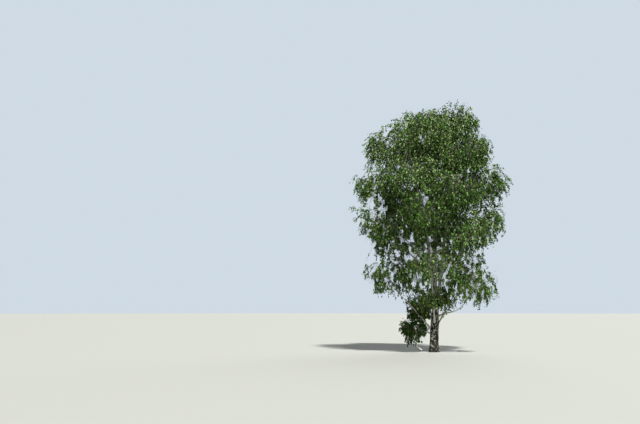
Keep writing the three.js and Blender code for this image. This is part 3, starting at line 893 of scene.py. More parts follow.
limb_t = np.linspace(0, 1, 61)
limb_spots = np.concatenate([curve_at(limb["controls"], limb_t) for limb in limbs.values()])
limb_thick = np.concatenate([limb["thick"] + (limb["tip"] - limb["thick"]) * limb_t
                             for limb in limbs.values()])


def share_out(points, mass):
    """How far out in its mass a point is: the length of (dx / wide, dy / wide, dz / tall)."""
    reach = np.array([mass["wide"], mass["wide"], mass["tall"]])
    return np.linalg.norm((points - mass["centre"]) / reach, axis=-1)


def crowd(points):
    """How deep in the crown a place is: the sum over the masses of exp(-3 share_out^2). It runs
    neighbouring masses together, as drops run together, and leaves the outline as it is."""
    return sum(np.exp(-CROWDING * share_out(points, mass) ** 2) for mass in masses)


def keeps_in(points, mass, overlap):
    """True for each row of points (n, k, 3) that stays in the crown, on its own side of the flat
    plane towards every other mass, over the grass, under the top, and clear of every limb. The edge
    goes in and out by a noise, most of all on a small mass, because no crown is cut to an egg."""
    lumps = soft_noise(points.reshape(-1, 3) * EDGE_LUMPS / mass["wide"], 9.0).reshape(points.shape[:2])
    small = mass["wide"] < SMALL_MASS
    edge = SMALL_EDGE + SMALL_SWING * lumps if small else EDGE + EDGE_SWING * lumps
    inside = (crowd(points) > np.exp(-CROWDING * edge**2)) | (share_out(points, HEART) < 1)
    ok = inside.all(axis=1)
    ok &= ((points[..., 2] > GROUND_GAP) & (points[..., 2] < TREE_HEIGHT)).all(axis=1)
    for other in masses:
        if other is mass:
            continue
        between = other["centre"] - mass["centre"]
        limit = np.linalg.norm(between) * mass["wide"] / (mass["wide"] + other["wide"]) + overlap
        ok &= ((points - mass["centre"]) @ unit(between)).max(axis=1) < limit
    flat = points.reshape(-1, 3)
    near = ((flat[:, None, :] - limb_spots[None, :, :]) ** 2).sum(axis=2)
    clear = (near > (limb_thick + LIMB_GAP)[None, :] ** 2).all(axis=1).reshape(points.shape[:2])
    return ok & clear.all(axis=1)


print(len(limb_spots), "spots on the limbs to keep clear of")

# %% [markdown]
# ## Thin places
# The crown isn't shut: the sky shows through in specks, more of them low down, where pale stems show
# too. Here and there the specks gather into a window. Even thinning would only make the crown dim,
# so the leaves are left out in clumps: nothing grows where a noise falls under a level. Its lumps are
# taller than wide, because the shoots hang. In a window the level is higher, and in a thicket lower.
# Each of these is an ellipse on the upright plane through the trunk, as seen from the camera's eye.
# At the crown's edge a level of nearly one trims the outline.

# %% Where nothing grows
CLUMPS_PER_METRE = np.array([9.0, 9.0, 5.0])
THIN_TOP = 0.32
THIN_FOOT = 0.425
THIN_LOW = 0.28
THIN_HEIGHTS = (5.6, 7.4)
LOW_HEIGHTS = (2.1, 2.6)
SPACE_SHARE = 0.3
# Each row is the middle of an ellipse in x and z, half its width, half its height, and its level. The
# level holds over the inner part and has faded out a little past the rim.
PLACE_EDGE = (0.6, 1.3)
PLACES = (
    (-0.1, 5.2, 0.9, 1.7, 0.47),
    (-2.9, 11.2, 0.6, 0.9, 0.24),
    (-3.0, 5.35, 0.5, 0.4, 0.3),
    (-2.1, 3.25, 0.7, 0.35, 0.28),
    (-3.15, 8.2, 0.55, 0.75, 0.56),
    (-0.4, 8.6, 0.24, 0.5, 0.6),
    (-0.45, 11.95, 0.26, 0.45, 0.6),
    (-1.4, 6.5, 0.42, 0.4, 0.55),
    (0.35, 4.4, 0.24, 0.8, 0.57),
    (-2.6, 3.9, 0.4, 0.25, 0.52),
    (-0.52, 0.62, 0.3, 0.4, 0.8),
    (-1.5, 1.72, 0.16, 0.14, 0.5),
    (0.1, 2.15, 0.3, 0.3, 0.85),
    (0.1, 2.85, 0.8, 0.34, 0.15),
    (-4.1, 6.0, 0.88, 0.52, 0.95),
    (-3.95, 3.65, 0.55, 0.5, 0.95),
    (-3.5, 12.75, 0.72, 0.42, 0.95),
    (-2.3, 13.6, 0.6, 0.35, 0.95),
    (-1.0, 13.95, 0.75, 0.4, 0.95),
)


def on_trunk_plane(points):
    """Where the sight line through each point meets the upright plane y = 0."""
    return eye + (points - eye) * (distance / (points[..., 1:2] + distance))


def grows(points, slack=0.0):
    """True where the clump noise is over the level, less the slack. The noise is part in space and
    part on the trunk plane, so that some of its low places line up into gaps to see through."""
    onto = on_trunk_plane(points)
    high = points[..., 2]
    level_here = (THIN_LOW + (THIN_FOOT - THIN_LOW) * smooth_step(high, *LOW_HEIGHTS)
                  + (THIN_TOP - THIN_FOOT) * smooth_step(high, *THIN_HEIGHTS))
    for x, z, wide, tall, there in PLACES:
        away = np.hypot((onto[..., 0] - x) / wide, (onto[..., 2] - z) / tall)
        level_here += (there - level_here) * (1 - smooth_step(away, *PLACE_EDGE))
    in_space = soft_noise(points.reshape(-1, 3) * CLUMPS_PER_METRE, 7.0)
    seen = soft_noise(onto.reshape(-1, 3) * CLUMPS_PER_METRE, 8.0)
    clumps = (SPACE_SHARE * in_space + (1 - SPACE_SHARE) * seen).reshape(high.shape)
    return clumps > level_here - slack


print(len(PLACES), "windows, thickets and trimmed edges")

# %% [markdown]
# ## Limbs to be seen
# A birch's pale stems show between its leaves, because the sprays hang beside them as often as over
# them. The leaves in front of a stem could be picked off one by one. A test is shorter: a leaf that
# is nearer than the stem, and close to it as seen from the camera's eye, is left out by chance. That
# is done for the leaders, a few boughs and branches, and for all of the low pale stems.

# %% Leaves that would hide a limb
STEM_BEND = 0.3
# The part of a limb that is to be seen, the number of spots on it, how near a leaf has to be to hide
# it, in metres, and the share of such leaves that is left out.
LOW_SHOWN = (0.1, 1.0, 40, 0.085, 1.0)
LEADER_SHOWN = (0.1, 0.5, 60, 0.11, 0.6)
BOUGH_SHOWN = (0.35, 1.0, 60, 0.06, 0.75)
BRANCH_SHOWN = (0.1, 0.9, 16, 0.035, 0.35)
LOW_STEM_SHOWN = 0.45
SHOWN_BOUGHS = ("bough_lower_1", "bough_middle_1", "bough_middle_2", "bough_upper_1")


def stem_controls(mass):
    """The stem carries on from its bough and bends up to its end, outwards or straight up."""
    end = (mass["centre"] + mass["outward"] * mass["lean"] * mass["wide"]
           + UP * mass["rise"] * mass["tall"])
    bend = mass["entry"] + mass["heading"] * STEM_BEND * np.linalg.norm(mass["entry"] - end)
    return np.array([mass["entry"], bend, end])


def curve_part(controls, share):
    """The control points of a three-point curve's first part: start, start + share (bend - start),
    and the point at that share."""
    start, bend, _ = controls
    return np.array([start, start + share * (bend - start), curve_at(controls, np.array([share]))[0]])


def shown_limb(controls, start, stop, count, gap, share):
    """The spots on a limb that is to be seen, or on several, with their gap and their share."""
    spots = curve_at(controls, np.linspace(start, stop, count))
    return {"spots": spots.reshape(-1, 3), "gap": gap, "share": share}


def hides(points, shown):
    """True where a leaf would hang in front of one of the shown limbs: nearer than it, and within its
    gap on the trunk plane. Of such leaves, the limb's share is left out."""
    onto = on_trunk_plane(points)
    luck = chance(np.arange(len(points)), 51)
    hidden = np.zeros(len(points), bool)
    for limb in shown:
        seen = on_trunk_plane(limb["spots"])
        offset = onto[:, None, [0, 2]] - seen[None, :, [0, 2]]
        before = points[:, None, 1] < limb["spots"][None, :, 1]
        close = (((offset**2).sum(axis=2) < limb["gap"] ** 2) & before).any(axis=1)
        hidden |= close & (luck < limb["share"])
    return hidden


low_stem = stem_controls(low_mass)
low_curves = [limbs[name]["controls"] for name in PALE_BOUGHS] + [curve_part(low_stem, LOW_STEM_SHOWN)]
low_limbs = [shown_limb(controls, *LOW_SHOWN) for controls in low_curves]
shown_limbs = [shown_limb(controls, *LEADER_SHOWN) for controls in leader_curves]
shown_limbs += [shown_limb(limbs[name]["controls"], *BOUGH_SHOWN) for name in SHOWN_BOUGHS]
print(len(low_limbs) + len(shown_limbs), "limbs to be seen")

# %% [markdown]
# ## Branches, twigs and shoots
# On the real tree each kind of wood bears the next, thinner one, and the thinnest hangs. Here too
# each kind starts from places on the one before, and is a curve of three points whose end is worked
# out by a rule. All of one kind in a mass are worked out together, and then the bad ones go.

# %% Branches of a mass
# A mass of the solid model has this many branches, and the step to the next is cut into four.
BRANCHES = 6
BETWEEN = 4
FIRST_HIGH = 0.1
HIGHEST = 1.1
FIRST_REACH = 0.8
BRANCH_REACH = 0.76
FIRST_TURN = 3
MASS_TURN = 1.7
STEM_BARE = 0.22
BRANCH_BOW = 0.09


def branch_controls(mass, stem, number):
    """Branch i aims at a height share of 1.1 - 2i/6 and turns by the golden turn, and its line bows
    up in the middle. Whole numbers are the solid model's branches, and quarters stand between."""
    i = np.concatenate([[0.0], np.arange(1, BRANCHES, 1 / BETWEEN)])
    high = np.where(i == 0, FIRST_HIGH, HIGHEST - 2 * i / BRANCHES)
    turn = GOLDEN_TURN * (i + FIRST_TURN) + number * MASS_TURN
    flat = np.stack([np.cos(turn), np.sin(turn), 0 * turn], axis=1)
    flat[0] = mass["outward"]
    aim = flat * (np.sqrt(1 - high**2) * mass["wide"])[:, None] + UP * (high * mass["tall"])[:, None]
    end = mass["centre"] + aim * np.where(i == 0, FIRST_REACH, BRANCH_REACH)[:, None]
    start = curve_at(stem, STEM_BARE + (1 - STEM_BARE) * ((i * GOLDEN_SHARE) % 1))
    if "stray" in mass:
        start = np.vstack([start, curve_at(stem, np.array([STRAY["from"]]))])
        end = np.vstack([end, mass["stray"]])
    middle = (start + end) / 2 + UP * (BRANCH_BOW * np.linalg.norm(end - start, axis=1))[:, None]
    return np.stack([start, middle, end], axis=1)


print(len(branch_controls(low_mass, low_stem, 0)), "branches to a mass, before the bad ones go")

# %% Twigs and shoots
# The width of mass that the lengths below are meant for.
COMMON_WIDE = 1.6

TWIG_PLACES = np.linspace(0.28, 1.0, 8)
TWIG_LENGTH = 0.56
TWIG_LEAST = 0.7
TWIG_SWING = 0.6
TWIG_SIDE = 0.85
LAST_SIDE = 0.2
TWIG_ALONG = 0.65
TWIG_UP = 0.12
TWIG_REACH = 0.92
TWIG_DROOP = 0.16

SHOOT_PLACES = np.array([0.2, 0.4, 0.6, 0.8, 1.0])
SHOOT_LENGTH = 0.55
SHOOT_LEAST = 0.45
SHOOT_OUT = 0.4
SHOOT_STRAY = 0.34
RISE_STRAY = 0.3
SHOOT_LIFT = 1.6
SHOOT_LIFTS = {"top": 3.2, "low": 2.4}
BEND_ALONG = 0.6
BEND_AWAY = 0.3
SHOOT_DROOP = 0.14


def twig_controls(branches, places, mass, number):
    """Twigs leave a branch by turns all round it, go out and up, and droop at their ends. The last
    carries the branch on. Their length goes with the width of the mass."""
    root = curve_at(branches, places).reshape(-1, 3)
    along = curve_heading(branches, places).reshape(-1, 3)
    count = np.arange(len(root))
    across = unit(np.cross(along, UP))
    over = np.cross(across, along)
    roll = (count * GOLDEN_TURN + number)[:, None]
    last = (count % len(places) == len(places) - 1)[:, None]
    side = np.where(last, LAST_SIDE, TWIG_SIDE) * (np.cos(roll) * across + np.sin(roll) * over)
    heading = unit(TWIG_ALONG * along + side + TWIG_UP * UP)
    size = mass["wide"] / COMMON_WIDE
    length = (TWIG_LENGTH * size * (TWIG_LEAST + TWIG_SWING * chance(count, number, 11)))[:, None]
    bend = root + heading * 0.5 * length
    tip = root + heading * TWIG_REACH * length - UP * TWIG_DROOP * length
    return np.stack([root, bend, tip], axis=1)


def shoot_controls(twigs, mass, number):
    """Shoots hang outwards and down, but stand up and out on top of the crown."""
    root = curve_at(twigs, SHOOT_PLACES).reshape(-1, 3)
    along = curve_heading(twigs, SHOOT_PLACES).reshape(-1, 3)
    count = np.arange(len(root))
    out = root - mass["centre"]
    height = out[:, 2] / mass["tall"]
    out[:, 2] = 0
    out = SHOOT_OUT * unit(out)
    out[:, 0] += SHOOT_STRAY * swing(count, number, 5)
    out[:, 1] += SHOOT_STRAY * swing(count, number, 6)
    lift = SHOOT_LIFTS.get(mass["region"], SHOOT_LIFT)
    out[:, 2] = -1 + lift * np.maximum(0, height) + RISE_STRAY * swing(count, number, 7)
    heading = unit(out)
    size = mass["wide"] / COMMON_WIDE
    length = (SHOOT_LENGTH * size * (SHOOT_LEAST + chance(count, number, 8)))[:, None]
    bend = root + (BEND_ALONG * along + BEND_AWAY * heading) * 0.5 * length
    tip = root + heading * length - UP * SHOOT_DROOP * length
    return np.stack([root, bend, tip], axis=1)


print(len(TWIG_PLACES), "twigs to a branch and", len(SHOOT_PLACES), "shoots to a twig")

# %% Grow every mass
# Where along a line it is checked, where a bough and a stem bear twigs, and in which tiers a stem
# does.
CHECKED = np.array([0.5, 1.0])
SHOOT_MIDDLE = np.array([0.6])
SHOOT_SLACK = 0.12
BOUGH_PLACES = np.linspace(0.28, 0.97, 20)
STEM_PLACES = np.linspace(0.35, 1.0, 12)
OPEN_ABOVE = ("top", "upper")


def grow_mass(mass, number):
    """Stem, branches, twigs and shoots of a mass, each as control points (n, 3, 3). All but the stem
    are checked at their middle and end. A branch that strays out of its mass by plan is let through,
    with its twigs and shoots."""
    stem = stem_controls(mass)
    branches = branch_controls(mass, stem, number)
    stray = np.zeros(len(branches), bool)
    stray[-1] = "stray" in mass
    ok = keeps_in(curve_at(branches, CHECKED), mass, PLANE_OVERLAP) | stray
    branches = branches[ok]
    twigs = twig_controls(branches, TWIG_PLACES, mass, number)
    from_stray = np.repeat(stray[ok], len(TWIG_PLACES))
    overlap = np.full(len(twigs), TWIG_OVERLAP)
    bough = limbs.get("bough_" + mass["name"])
    bearers = [(bough["controls"], BOUGH_PLACES, BOUGH_OVERLAP)] if bough else []
    if mass["region"] in OPEN_ABOVE:
        bearers.append((stem, STEM_PLACES, TWIG_OVERLAP))
    for controls, places, slack in bearers:
        twigs = np.vstack([twigs, twig_controls(controls[None], places, mass, number)])
        from_stray = np.append(from_stray, np.zeros(len(places), bool))
        overlap = np.append(overlap, np.full(len(places), slack))
    twigs_ok = keeps_in(curve_at(twigs, CHECKED), mass, overlap) | from_stray
    twigs = twigs[twigs_ok]
    shoots = shoot_controls(twigs, mass, number)
    from_stray = np.repeat(from_stray[twigs_ok], len(SHOOT_PLACES))
    overlap = np.repeat(overlap[twigs_ok], len(SHOOT_PLACES))
    ok = keeps_in(curve_at(shoots, CHECKED), mass, overlap) | from_stray
    ok &= grows(curve_at(shoots, SHOOT_MIDDLE)[:, 0], SHOOT_SLACK)
    return {"stem": stem[None], "branches": branches, "twigs": twigs, "shoots": shoots[ok]}


grown = [grow_mass(mass, number) for number, mass in enumerate(masses)]
print({key: sum(len(made[key]) for made in grown) for key in ("branches", "twigs", "shoots")})

# %% [markdown]
# ## Twigs as thin tubes
# A twig of a few millimetres needs only three sides. All the twigs of a region go into one mesh,
# because thousands of small objects would be slow to draw and hard to handle. The thicker wood comes
# first in it and has the paler bark.

# %% Tubes along many curves at once
def tubes(controls, steps, thick, tip):
    """Three-sided tubes along (n, k, 3) curves: corners and faces. Ring corners stand at the curve's
    point + radius (cos a across + sin a over), and each end is closed by a triangle."""
    n = len(controls)
    t = np.linspace(0, 1, steps + 1)
    points = curve_at(controls, t)
    heading = curve_heading(controls, t)
    overall = np.abs(controls[:, -1] - controls[:, 0])
    reference = np.eye(3)[np.argmin(overall, axis=1)][:, None, :]
    across = unit(np.cross(np.broadcast_to(reference, heading.shape), heading))
    over = np.cross(heading, across)
    radius = (thick + (tip - thick) * t)[None, :, None, None]
    angles = (np.arange(3) * 2 * math.pi / 3)[None, None, :, None]
    ring = np.cos(angles) * across[:, :, None, :] + np.sin(angles) * over[:, :, None, :]
    corners = (points[:, :, None, :] + radius * ring).reshape(-1, 3)
    base = (np.arange(n) * (steps + 1) * 3)[:, None, None]
    i = (np.arange(steps) * 3)[None, :, None]
    j = np.arange(3)[None, None, :]
    k = (j + 1) % 3
    quads = np.stack([base + i + j, base + i + k, base + i + k + 3, base + i + j + 3], axis=-1)
    base = base[:, 0, 0][:, None]
    ends = np.vstack([base + np.array([2, 1, 0]), base + steps * 3 + np.array([0, 1, 2])])
    return corners, quads.reshape(-1, 4), ends


def joined(parts):
    """Several (corners, quads, triangles) as one, with the indices moved on."""
    offsets = np.cumsum([0] + [len(corners) for corners, _, _ in parts])
    corners = np.vstack([part[0] for part in parts])
    quads = np.vstack([part[1] + offset for part, offset in zip(parts, offsets)])
    ends = np.vstack([part[2] + offset for part, offset in zip(parts, offsets)])
    return corners, quads, ends


print("tubes ready")

# %% [markdown]
# ## Twig bark
# Fine birch twigs are a shiny red-brown that greys with age, and the branches that bear them are
# paler. They are too thin to store a bark place, so the mottle reads the object's own coordinates.

# %% The twig material
# A noise, the two values of it between which brown turns to grey, and the roughness: a factor on the
# noise, and what it is added to.
TWIG_MOTTLE = (3.5, (1, 1, 1), 4)
GREYED = (0.4, 0.62)
TWIG_ROUGHNESS = (0.4, 0.45)


def twig_material(name, brown, grey):
    """Brown and grey by soft noise, a little glossier where it is brown."""
    material, tree, shader = new_material(name)
    place = add_node(tree, "ShaderNodeTexCoord").outputs["Object"]
    mottle = noise(tree, place, *TWIG_MOTTLE)
    colour = mixed(tree, band(tree, mottle, *GREYED), brown, grey)
    tree.links.new(colour, shader.inputs["Base Color"])
    tree.links.new(scaled(tree, mottle, *TWIG_ROUGHNESS), shader.inputs["Roughness"])
    return material


TWIG_BARK = twig_material("twig_bark", (0.07, 0.062, 0.032, 1), (0.25, 0.265, 0.185, 1))
BRANCH_BARK = twig_material("branch_bark", (0.2, 0.195, 0.14, 1), (0.46, 0.48, 0.38, 1))
REGIONS = ("low", "skirt", "lower", "middle", "upper", "top", "inner")
# Steps along each kind of wood, and its radius at the root and at the tip.
WOODY = {"stem": (12, BOUGH_TIP * 0.97, STEM_TIP * 0.7), "branches": (7, 0.016, 0.008)}
FINE = {"twigs": (4, 0.0055, 0.003), "shoots": (2, 0.0026, 0.0011)}


def region_nodes(region):
    """The solids that a region's leaves and twigs stand for."""
    return ["foliage_" + mass["name"] for mass in masses if mass["region"] == region]


twig_triangles = 0
for region in REGIONS:
    here = [made for mass, made in zip(masses, grown) if mass["region"] == region]
    woody = [tubes(made[kind], *size) for made in here for kind, size in WOODY.items()]
    fine = [tubes(made[kind], *size) for made in here for kind, size in FINE.items()]
    corners, quads, ends = joined(woody + fine)
    thick_quads = sum(len(part[1]) for part in woody)
    thick_ends = sum(len(part[2]) for part in woody)
    is_fine = np.concatenate([np.arange(len(quads)) >= thick_quads, np.arange(len(ends)) >= thick_ends])
    piece = make_mesh("twigs_" + region, corners, [quads, ends], [BRANCH_BARK, TWIG_BARK],
                      shade_smooth=True, face_material=is_fine)
    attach(piece, "root")
    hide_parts(*region_nodes(region))
    twig_triangles += triangle_count(piece)
    print(piece.name, triangle_count(piece), "triangles")
print("all the twigs:", twig_triangles, "triangles")

# %% [markdown]
# ## Leaves
# A birch leaf is a pointed egg, widest a third of the way up, folded a little along its midrib. It
# could be a picture on a card, but a card has no edge of its own, so each leaf is six corners and
# two faces in its true outline. Thousands are placed at once: each has a root on its shoot, a
# direction, and a face that looks outwards.

# %% Leaf colours
# From deep to light, with olive last. Which of the first four a leaf gets goes partly by painted light
# and shade: leaf_deep serves as painted shade inside the crown, and leaf_light, the palest, as a painted
# highlight. The rest of the choice is random tone.
TINTS = (
    ("leaf_deep", (0.005, 0.036, 0.001)),
    ("leaf_green", (0.033, 0.126, 0.005)),
    ("leaf_fresh", (0.11, 0.255, 0.034)),
    ("leaf_light", (0.32, 0.45, 0.19)),
    ("leaf_olive", (0.098, 0.125, 0.028)),
)
RIB_TINT = (0.2, 0.29, 0.06, 1)
SHADE_TINT = (0.01, 0.03, 0.004, 1)
RIB_SHOWS = 0.45
SHADE_SHOWS = 0.35
LINES_SHOW = 0.7
# The midrib is a band beside the leaf's middle, and the veins are slanting waves.
RIB_EDGE = (0.02, 0.06)
VEIN_SLANT = 0.8
VEIN_WAVES = 50.0
VEIN_EDGE = (0.72, 0.98)
VEIN_STRENGTH = 0.5
LEAF_MOTTLE = (0.9, (1, 1, 1), 3)
MOTTLED = (0.35, 0.65)
LEAF_ROUGHNESS = (0.25, 0.36)
VEIN_BUMP = 0.3
VEIN_DEPTH = 0.001
LEAF_GLOSS = 0.18


def leaf_group():
    """A leaf's blade from its own map, u across and v along: a pale midrib, side veins and a soft
    mottle."""
    group, given, wanted = new_group(
        "leaf blade",
        [("Map", "Vector", None), ("Place", "Vector", None), ("Tint", "Color", (0.05, 0.1, 0.02, 1))],
        [("Color", "Color"), ("Roughness", "Float"), ("Height", "Float")],
    )
    split = add_node(group, "ShaderNodeSeparateXYZ", None, Vector=given["Map"])
    off_rib = math_node(group, "ABSOLUTE", math_node(group, "SUBTRACT", split.outputs["X"], 0.5))
    rib = math_node(group, "SUBTRACT", 1.0, band(group, off_rib, *RIB_EDGE))
    slant = math_node(group, "SUBTRACT", split.outputs["Y"],
                      math_node(group, "MULTIPLY", off_rib, VEIN_SLANT))
    wave = math_node(group, "SINE", math_node(group, "MULTIPLY", slant, VEIN_WAVES))
    veins = math_node(group, "MULTIPLY", band(group, wave, *VEIN_EDGE), VEIN_STRENGTH)
    lines = math_node(group, "MAXIMUM", rib, veins)
    mottle = noise(group, given["Place"], *LEAF_MOTTLE)
    lighter = mixed(group, RIB_SHOWS, given["Tint"], RIB_TINT)
    darker = mixed(group, SHADE_SHOWS, given["Tint"], SHADE_TINT)
    blade = mixed(group, band(group, mottle, *MOTTLED), darker, given["Tint"])
    veined = mixed(group, math_node(group, "MULTIPLY", lines, LINES_SHOW), blade, lighter)
    group.links.new(veined, wanted["Color"])
    group.links.new(scaled(group, mottle, *LEAF_ROUGHNESS), wanted["Roughness"])
    group.links.new(lines, wanted["Height"])
    return group


LEAF_GROUP = leaf_group()


def leaf_material(name, tint):
    """One tint of leaf: the shared blade, with a slight bump along its veins."""
    material, tree, shader = new_material(name)
    coordinates = add_node(tree, "ShaderNodeTexCoord")
    blade = add_node(tree, "ShaderNodeGroup", {"node_tree": LEAF_GROUP}, Map=coordinates.outputs["UV"],
                     Place=coordinates.outputs["Object"], Tint=(*tint, 1))
    join_finish(tree, shader, blade, VEIN_BUMP, VEIN_DEPTH, LEAF_GLOSS)
    return material


LEAF_MATERIALS = [leaf_material(name, tint) for name, tint in TINTS]
print(len(LEAF_MATERIALS), "leaf tints")

# %% The shape and the direction of a leaf
LEAVES = 8
LEAF_WIDTH = 0.72
LEAF_FOLD = 0.1
LEAF_ROLL = 2.4
LEAF_SIDE = 0.7
LEAF_ALONG = 0.45
LEAF_HANG = 0.65
FACE_OUT = 0.5
FACE_UP = 0.5
FACE_STRAY = 1.1
# The six corners of a leaf, as the way along, the way across and the height of the fold.
BLADE = np.array([
    (0.0, 0.0, 0.0),
    (0.3, 0.5, 1.0),
    (0.66, 0.3, 0.8),
    (1.0, 0.0, -0.3),
    (0.66, -0.3, 0.8),
    (0.3, -0.5, 1.0),
])
LEAF_FACES = np.array([[0, 3, 2, 1], [0, 5, 4, 3]])


def leaf_frames(shoots, mass, number):
    """Root, axis and facing direction of each leaf, and the number of its shoot."""
    places = np.linspace(0.1, 1.0, LEAVES)
    root = curve_at(shoots, places)
    along = curve_heading(shoots, places)
    count = np.arange(len(shoots) * LEAVES).reshape(len(shoots), LEAVES)
    across = unit(np.cross(along, UP) + 1e-3)
    over = np.cross(across, along)
    roll = (count * GOLDEN_TURN + LEAF_ROLL * chance(count, number, 21))[..., None]
    side = np.cos(roll) * across + np.sin(roll) * over
    axis = unit(LEAF_SIDE * side + LEAF_ALONG * along - LEAF_HANG * UP)
    outward = unit(root - mass["centre"])
    stray = np.stack([swing(count, number, seed) for seed in (22, 23, 24)], axis=-1)
    facing = unit(FACE_OUT * outward + FACE_UP * UP + FACE_STRAY * stray)
    shoot = np.repeat(np.arange(len(shoots)), LEAVES)
    return root.reshape(-1, 3), axis.reshape(-1, 3), facing.reshape(-1, 3), shoot


def leaf_corners(root, axis, facing, length):
    """Corner = root + length (v axis + u width side + fold w face), for the six (v, u, w) of BLADE."""
    side = unit(np.cross(axis, facing))
    face = np.cross(side, axis)
    v, u, w = BLADE[:, 0], BLADE[:, 1], BLADE[:, 2]
    shape = (v[None, :, None] * axis[:, None, :] + (u * LEAF_WIDTH)[None, :, None] * side[:, None, :]
             + (w * LEAF_FOLD)[None, :, None] * face[:, None, :])
    return root[:, None, :] + length[:, None, None] * shape


print(len(BLADE), "corners and", len(LEAF_FACES), "faces to a leaf")

# %% The tint of a leaf
# Painted light: how much lighter a tint gets out at the skin of its mass and up the tree. Painted shade:
# how much deeper it gets on a small mass. The shoot, mass and leaf swings are random tone.
OUT_PAINTED_LIGHT = 0.38
HIGH_PAINTED_LIGHT = 0.22
SHOOT_LIGHT = 0.36
MASS_LIGHT = 0.2
LEAF_SWING = 0.74
SMALL_PAINTED_SHADE = 0.8
TINT_STEPS = (0.53, 0.75, 0.95)
OLIVE = 0.08
SPROUT_OLIVE = 0.5


def leaf_tints(shoots, mass, number, shoot):
    """A tint for each leaf by its shoot's place: painted light towards the skin and the top, painted
    shade deeper inside and on a small mass, and olive at times. By chance each leaf is lighter or deeper
    than its shoot."""
    tip = shoots[shoot, -1]
    swings = LEAF_SWING * swing(np.arange(len(shoot)), number, 34)
    # Painted light outwards and upwards, with random tone from the swings.
    light = (OUT_PAINTED_LIGHT * share_out(tip, mass) + HIGH_PAINTED_LIGHT * tip[:, 2] / TREE_HEIGHT + swings
             + SHOOT_LIGHT * (chance(shoot, number, 31) - 0.5)
             + MASS_LIGHT * (chance(number, 32) - 0.5))
    # Painted shade on the small masses, the low bush and the spur.
    if mass["wide"] < SMALL_MASS:
        light -= SMALL_PAINTED_SHADE
    olive = SPROUT_OLIVE if mass["name"] in ("sprout", "spur") else OLIVE
    tint = np.digitize(light, TINT_STEPS)
    return np.where(chance(shoot, number, 33) < olive, len(TINTS) - 1, tint)


print(len(TINT_STEPS) + 1, "tints by light, and olive for one shoot in", round(1 / OLIVE, 1))

# %% Place the leaves
LEAF_LENGTH = 0.108
LEAF_LEAST = 0.72
LEAF_MORE = 0.5
NEAR_LOW = ("low", "skirt_1")

leaf_total, leaf_triangles = 0, 0
for region in REGIONS:
    corners, tints = [], []
    for number, (mass, made) in enumerate(zip(masses, grown)):
        if mass["region"] != region:
            continue
        root, axis, facing, shoot = leaf_frames(made["shoots"], mass, number)
        before_low = mass["name"] in NEAR_LOW or mass["region"] == "inner"
        shown = low_limbs + shown_limbs if before_low else shown_limbs
        shown = shown + [shown_limb(made["branches"], *BRANCH_SHOWN)]
        keep = grows(root) & (root[:, 2] > GROUND_GAP) & ~hides(root, shown)
        size = LEAF_LEAST + LEAF_MORE * chance(np.arange(len(root)), number, 42)
        length = LEAF_LENGTH * size
        corners.append(leaf_corners(root[keep], axis[keep], facing[keep], length[keep]).reshape(-1, 3))
        tints.append(leaf_tints(made["shoots"], mass, number, shoot)[keep])
    corners = np.vstack(corners)
    tints = np.repeat(np.concatenate(tints), len(LEAF_FACES))
    first = (np.arange(len(corners) // len(BLADE)) * len(BLADE))[:, None, None]
    quads = (first + LEAF_FACES).reshape(-1, 4)
    piece = make_mesh("leaves_" + region, corners, [quads], LEAF_MATERIALS, face_material=tints)
    leaf_map = np.stack([0.5 + BLADE[:, 1], BLADE[:, 0]], axis=1)
    layer = piece.data.uv_layers.new(name="UVMap")
    layer.data.foreach_set("uv", leaf_map[quads.ravel() % len(BLADE)].astype(np.float32).ravel())
    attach(piece, "root")
    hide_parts(*region_nodes(region))
    leaf_total += len(quads) // len(LEAF_FACES)
    leaf_triangles += triangle_count(piece)
    print(piece.name, triangle_count(piece), "triangles")
print("all the leaves:", leaf_total)

# %% [markdown]
# ## The low stem and the bare shoot
# The lowest bough stays pale as it runs on through the low bush, and no leaf hides its first part
# there. Out of the bush hangs one shoot with no leaves. Both are skinned as the boughs are.

# %% Skin the low stem and the bare shoot
BARE_GRID = (60, 10)
LOW_STEM_SKINNED = 0.75
OVER_TUBE = 1.06


def skin_bare(name, controls, thick, thin):
    """A pale tube along a curve, with an even taper from thick to thin."""
    rings, sides = BARE_GRID
    t = np.linspace(0, 1, rings)
    radius = np.repeat((thick + (thin - thick) * t)[:, None], sides, axis=1)
    piece = limb_surface(name, curve_at(controls, t), curve_heading(controls, t), radius, 0 * t, [],
                         PAPER_BARK)
    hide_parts("foliage_low")
    return piece


bare_root = curve_at(low_stem, np.array([BARE_SHOOT["from"]]))[0]
bare_controls = np.array([bare_root, BARE_SHOOT["knee"], BARE_SHOOT["tip"]])
pale_pieces = [
    skin_bare("low_stem_skin", curve_part(low_stem, LOW_STEM_SKINNED), BOUGH_TIP * OVER_TUBE, STEM_TIP),
    skin_bare("bare_shoot_skin", bare_controls, BARE_SHOOT["thick"], BARE_SHOOT["thin"]),
]
skin_triangles += sum(triangle_count(piece) for piece in pale_pieces)
print("all the bark, with the low stem and the bare shoot:", skin_triangles, "triangles")

# %% [markdown]
# ## Floor and light
# The stage is a wide pale floor under a pale, even sky, so that the tree's own colours show. A sun
# high in front and a little to the right gives the crown its shape. A wide low one from the front
# left reaches the boughs and the trunk, and a wide weak one from behind keeps the back from going
# dark. The sky fills the shade, with less light than it shows to the camera.

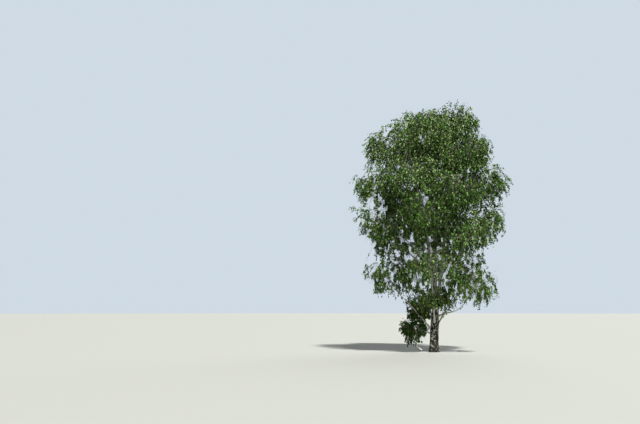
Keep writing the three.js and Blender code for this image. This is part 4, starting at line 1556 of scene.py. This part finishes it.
# %% The stage
FLOOR_REACH = 400.0
FLOOR_SIDES = 96
FLOOR_SUNK = 0.002
FLOOR_TINT = (0.49, 0.5, 0.48, 1)
FLOOR_ROUGHNESS = 0.9
BACKDROP = 0.78
FILL = 0.07
FILL_COLOUR = (0.84, 0.96, 0.82, 1)
SKY_COLOUR = (0.8, 0.9, 1.0, 1)
# The name of each sun, its turn round the tree, its elevation, its strength, its spread and its
# colour.
SUNS = (
    ("key_sun", 286, 50, 5.0, 4, (1.0, 0.99, 0.93)),
    ("front_sun", 235, 12, 0.42, 40, (0.98, 1.0, 0.94)),
    ("back_sun", 70, 30, 1.2, 50, (0.92, 0.96, 1.0)),
)


def stage_floor():
    """A flat pale disc, far wider than the tree."""
    turn = np.arange(FLOOR_SIDES) * 2 * math.pi / FLOOR_SIDES
    rim = np.stack([FLOOR_REACH * np.cos(turn), FLOOR_REACH * np.sin(turn), 0 * turn - FLOOR_SUNK],
                   axis=1)
    material, _, shader = new_material("floor")
    shader.inputs["Base Color"].default_value = FLOOR_TINT
    shader.inputs["Roughness"].default_value = FLOOR_ROUGHNESS
    make_mesh("floor", rim, [np.arange(FLOOR_SIDES)[None, :]], [material])


def soft_sun(name, turn, elevation, strength, spread, colour):
    """A sun that shines from a turn round the tree and an elevation, both in degrees."""
    lamp = bpy.data.lights.new(name, "SUN")
    lamp.energy = strength
    lamp.angle = math.radians(spread)
    lamp.color = colour
    sun = bpy.data.objects.new(name, lamp)
    sun.rotation_euler = (math.radians(90 - elevation), 0, math.radians(turn + 90))
    bpy.context.scene.collection.objects.link(sun)


stage_floor()
for sun_values in SUNS:
    soft_sun(*sun_values)
world = bpy.data.worlds.new("pale sky")
world.use_nodes = True
sky = world.node_tree
seen = add_node(sky, "ShaderNodeLightPath").outputs["Is Camera Ray"]
backdrop = sky.nodes["Background"]
sky.links.new(mixed(sky, seen, FILL_COLOUR, SKY_COLOUR), backdrop.inputs["Color"])
sky.links.new(scaled(sky, seen, BACKDROP - FILL, FILL), backdrop.inputs["Strength"])
bpy.context.scene.world = world
bpy.context.scene.view_settings.view_transform = "Standard"
print("stage ready with", len(SUNS), "suns")

# %% [markdown]
# ## Finish
# The triangles of all the pieces are counted and printed.

# %% Count the triangles
print("triangles in all:", skin_triangles + twig_triangles + leaf_triangles)
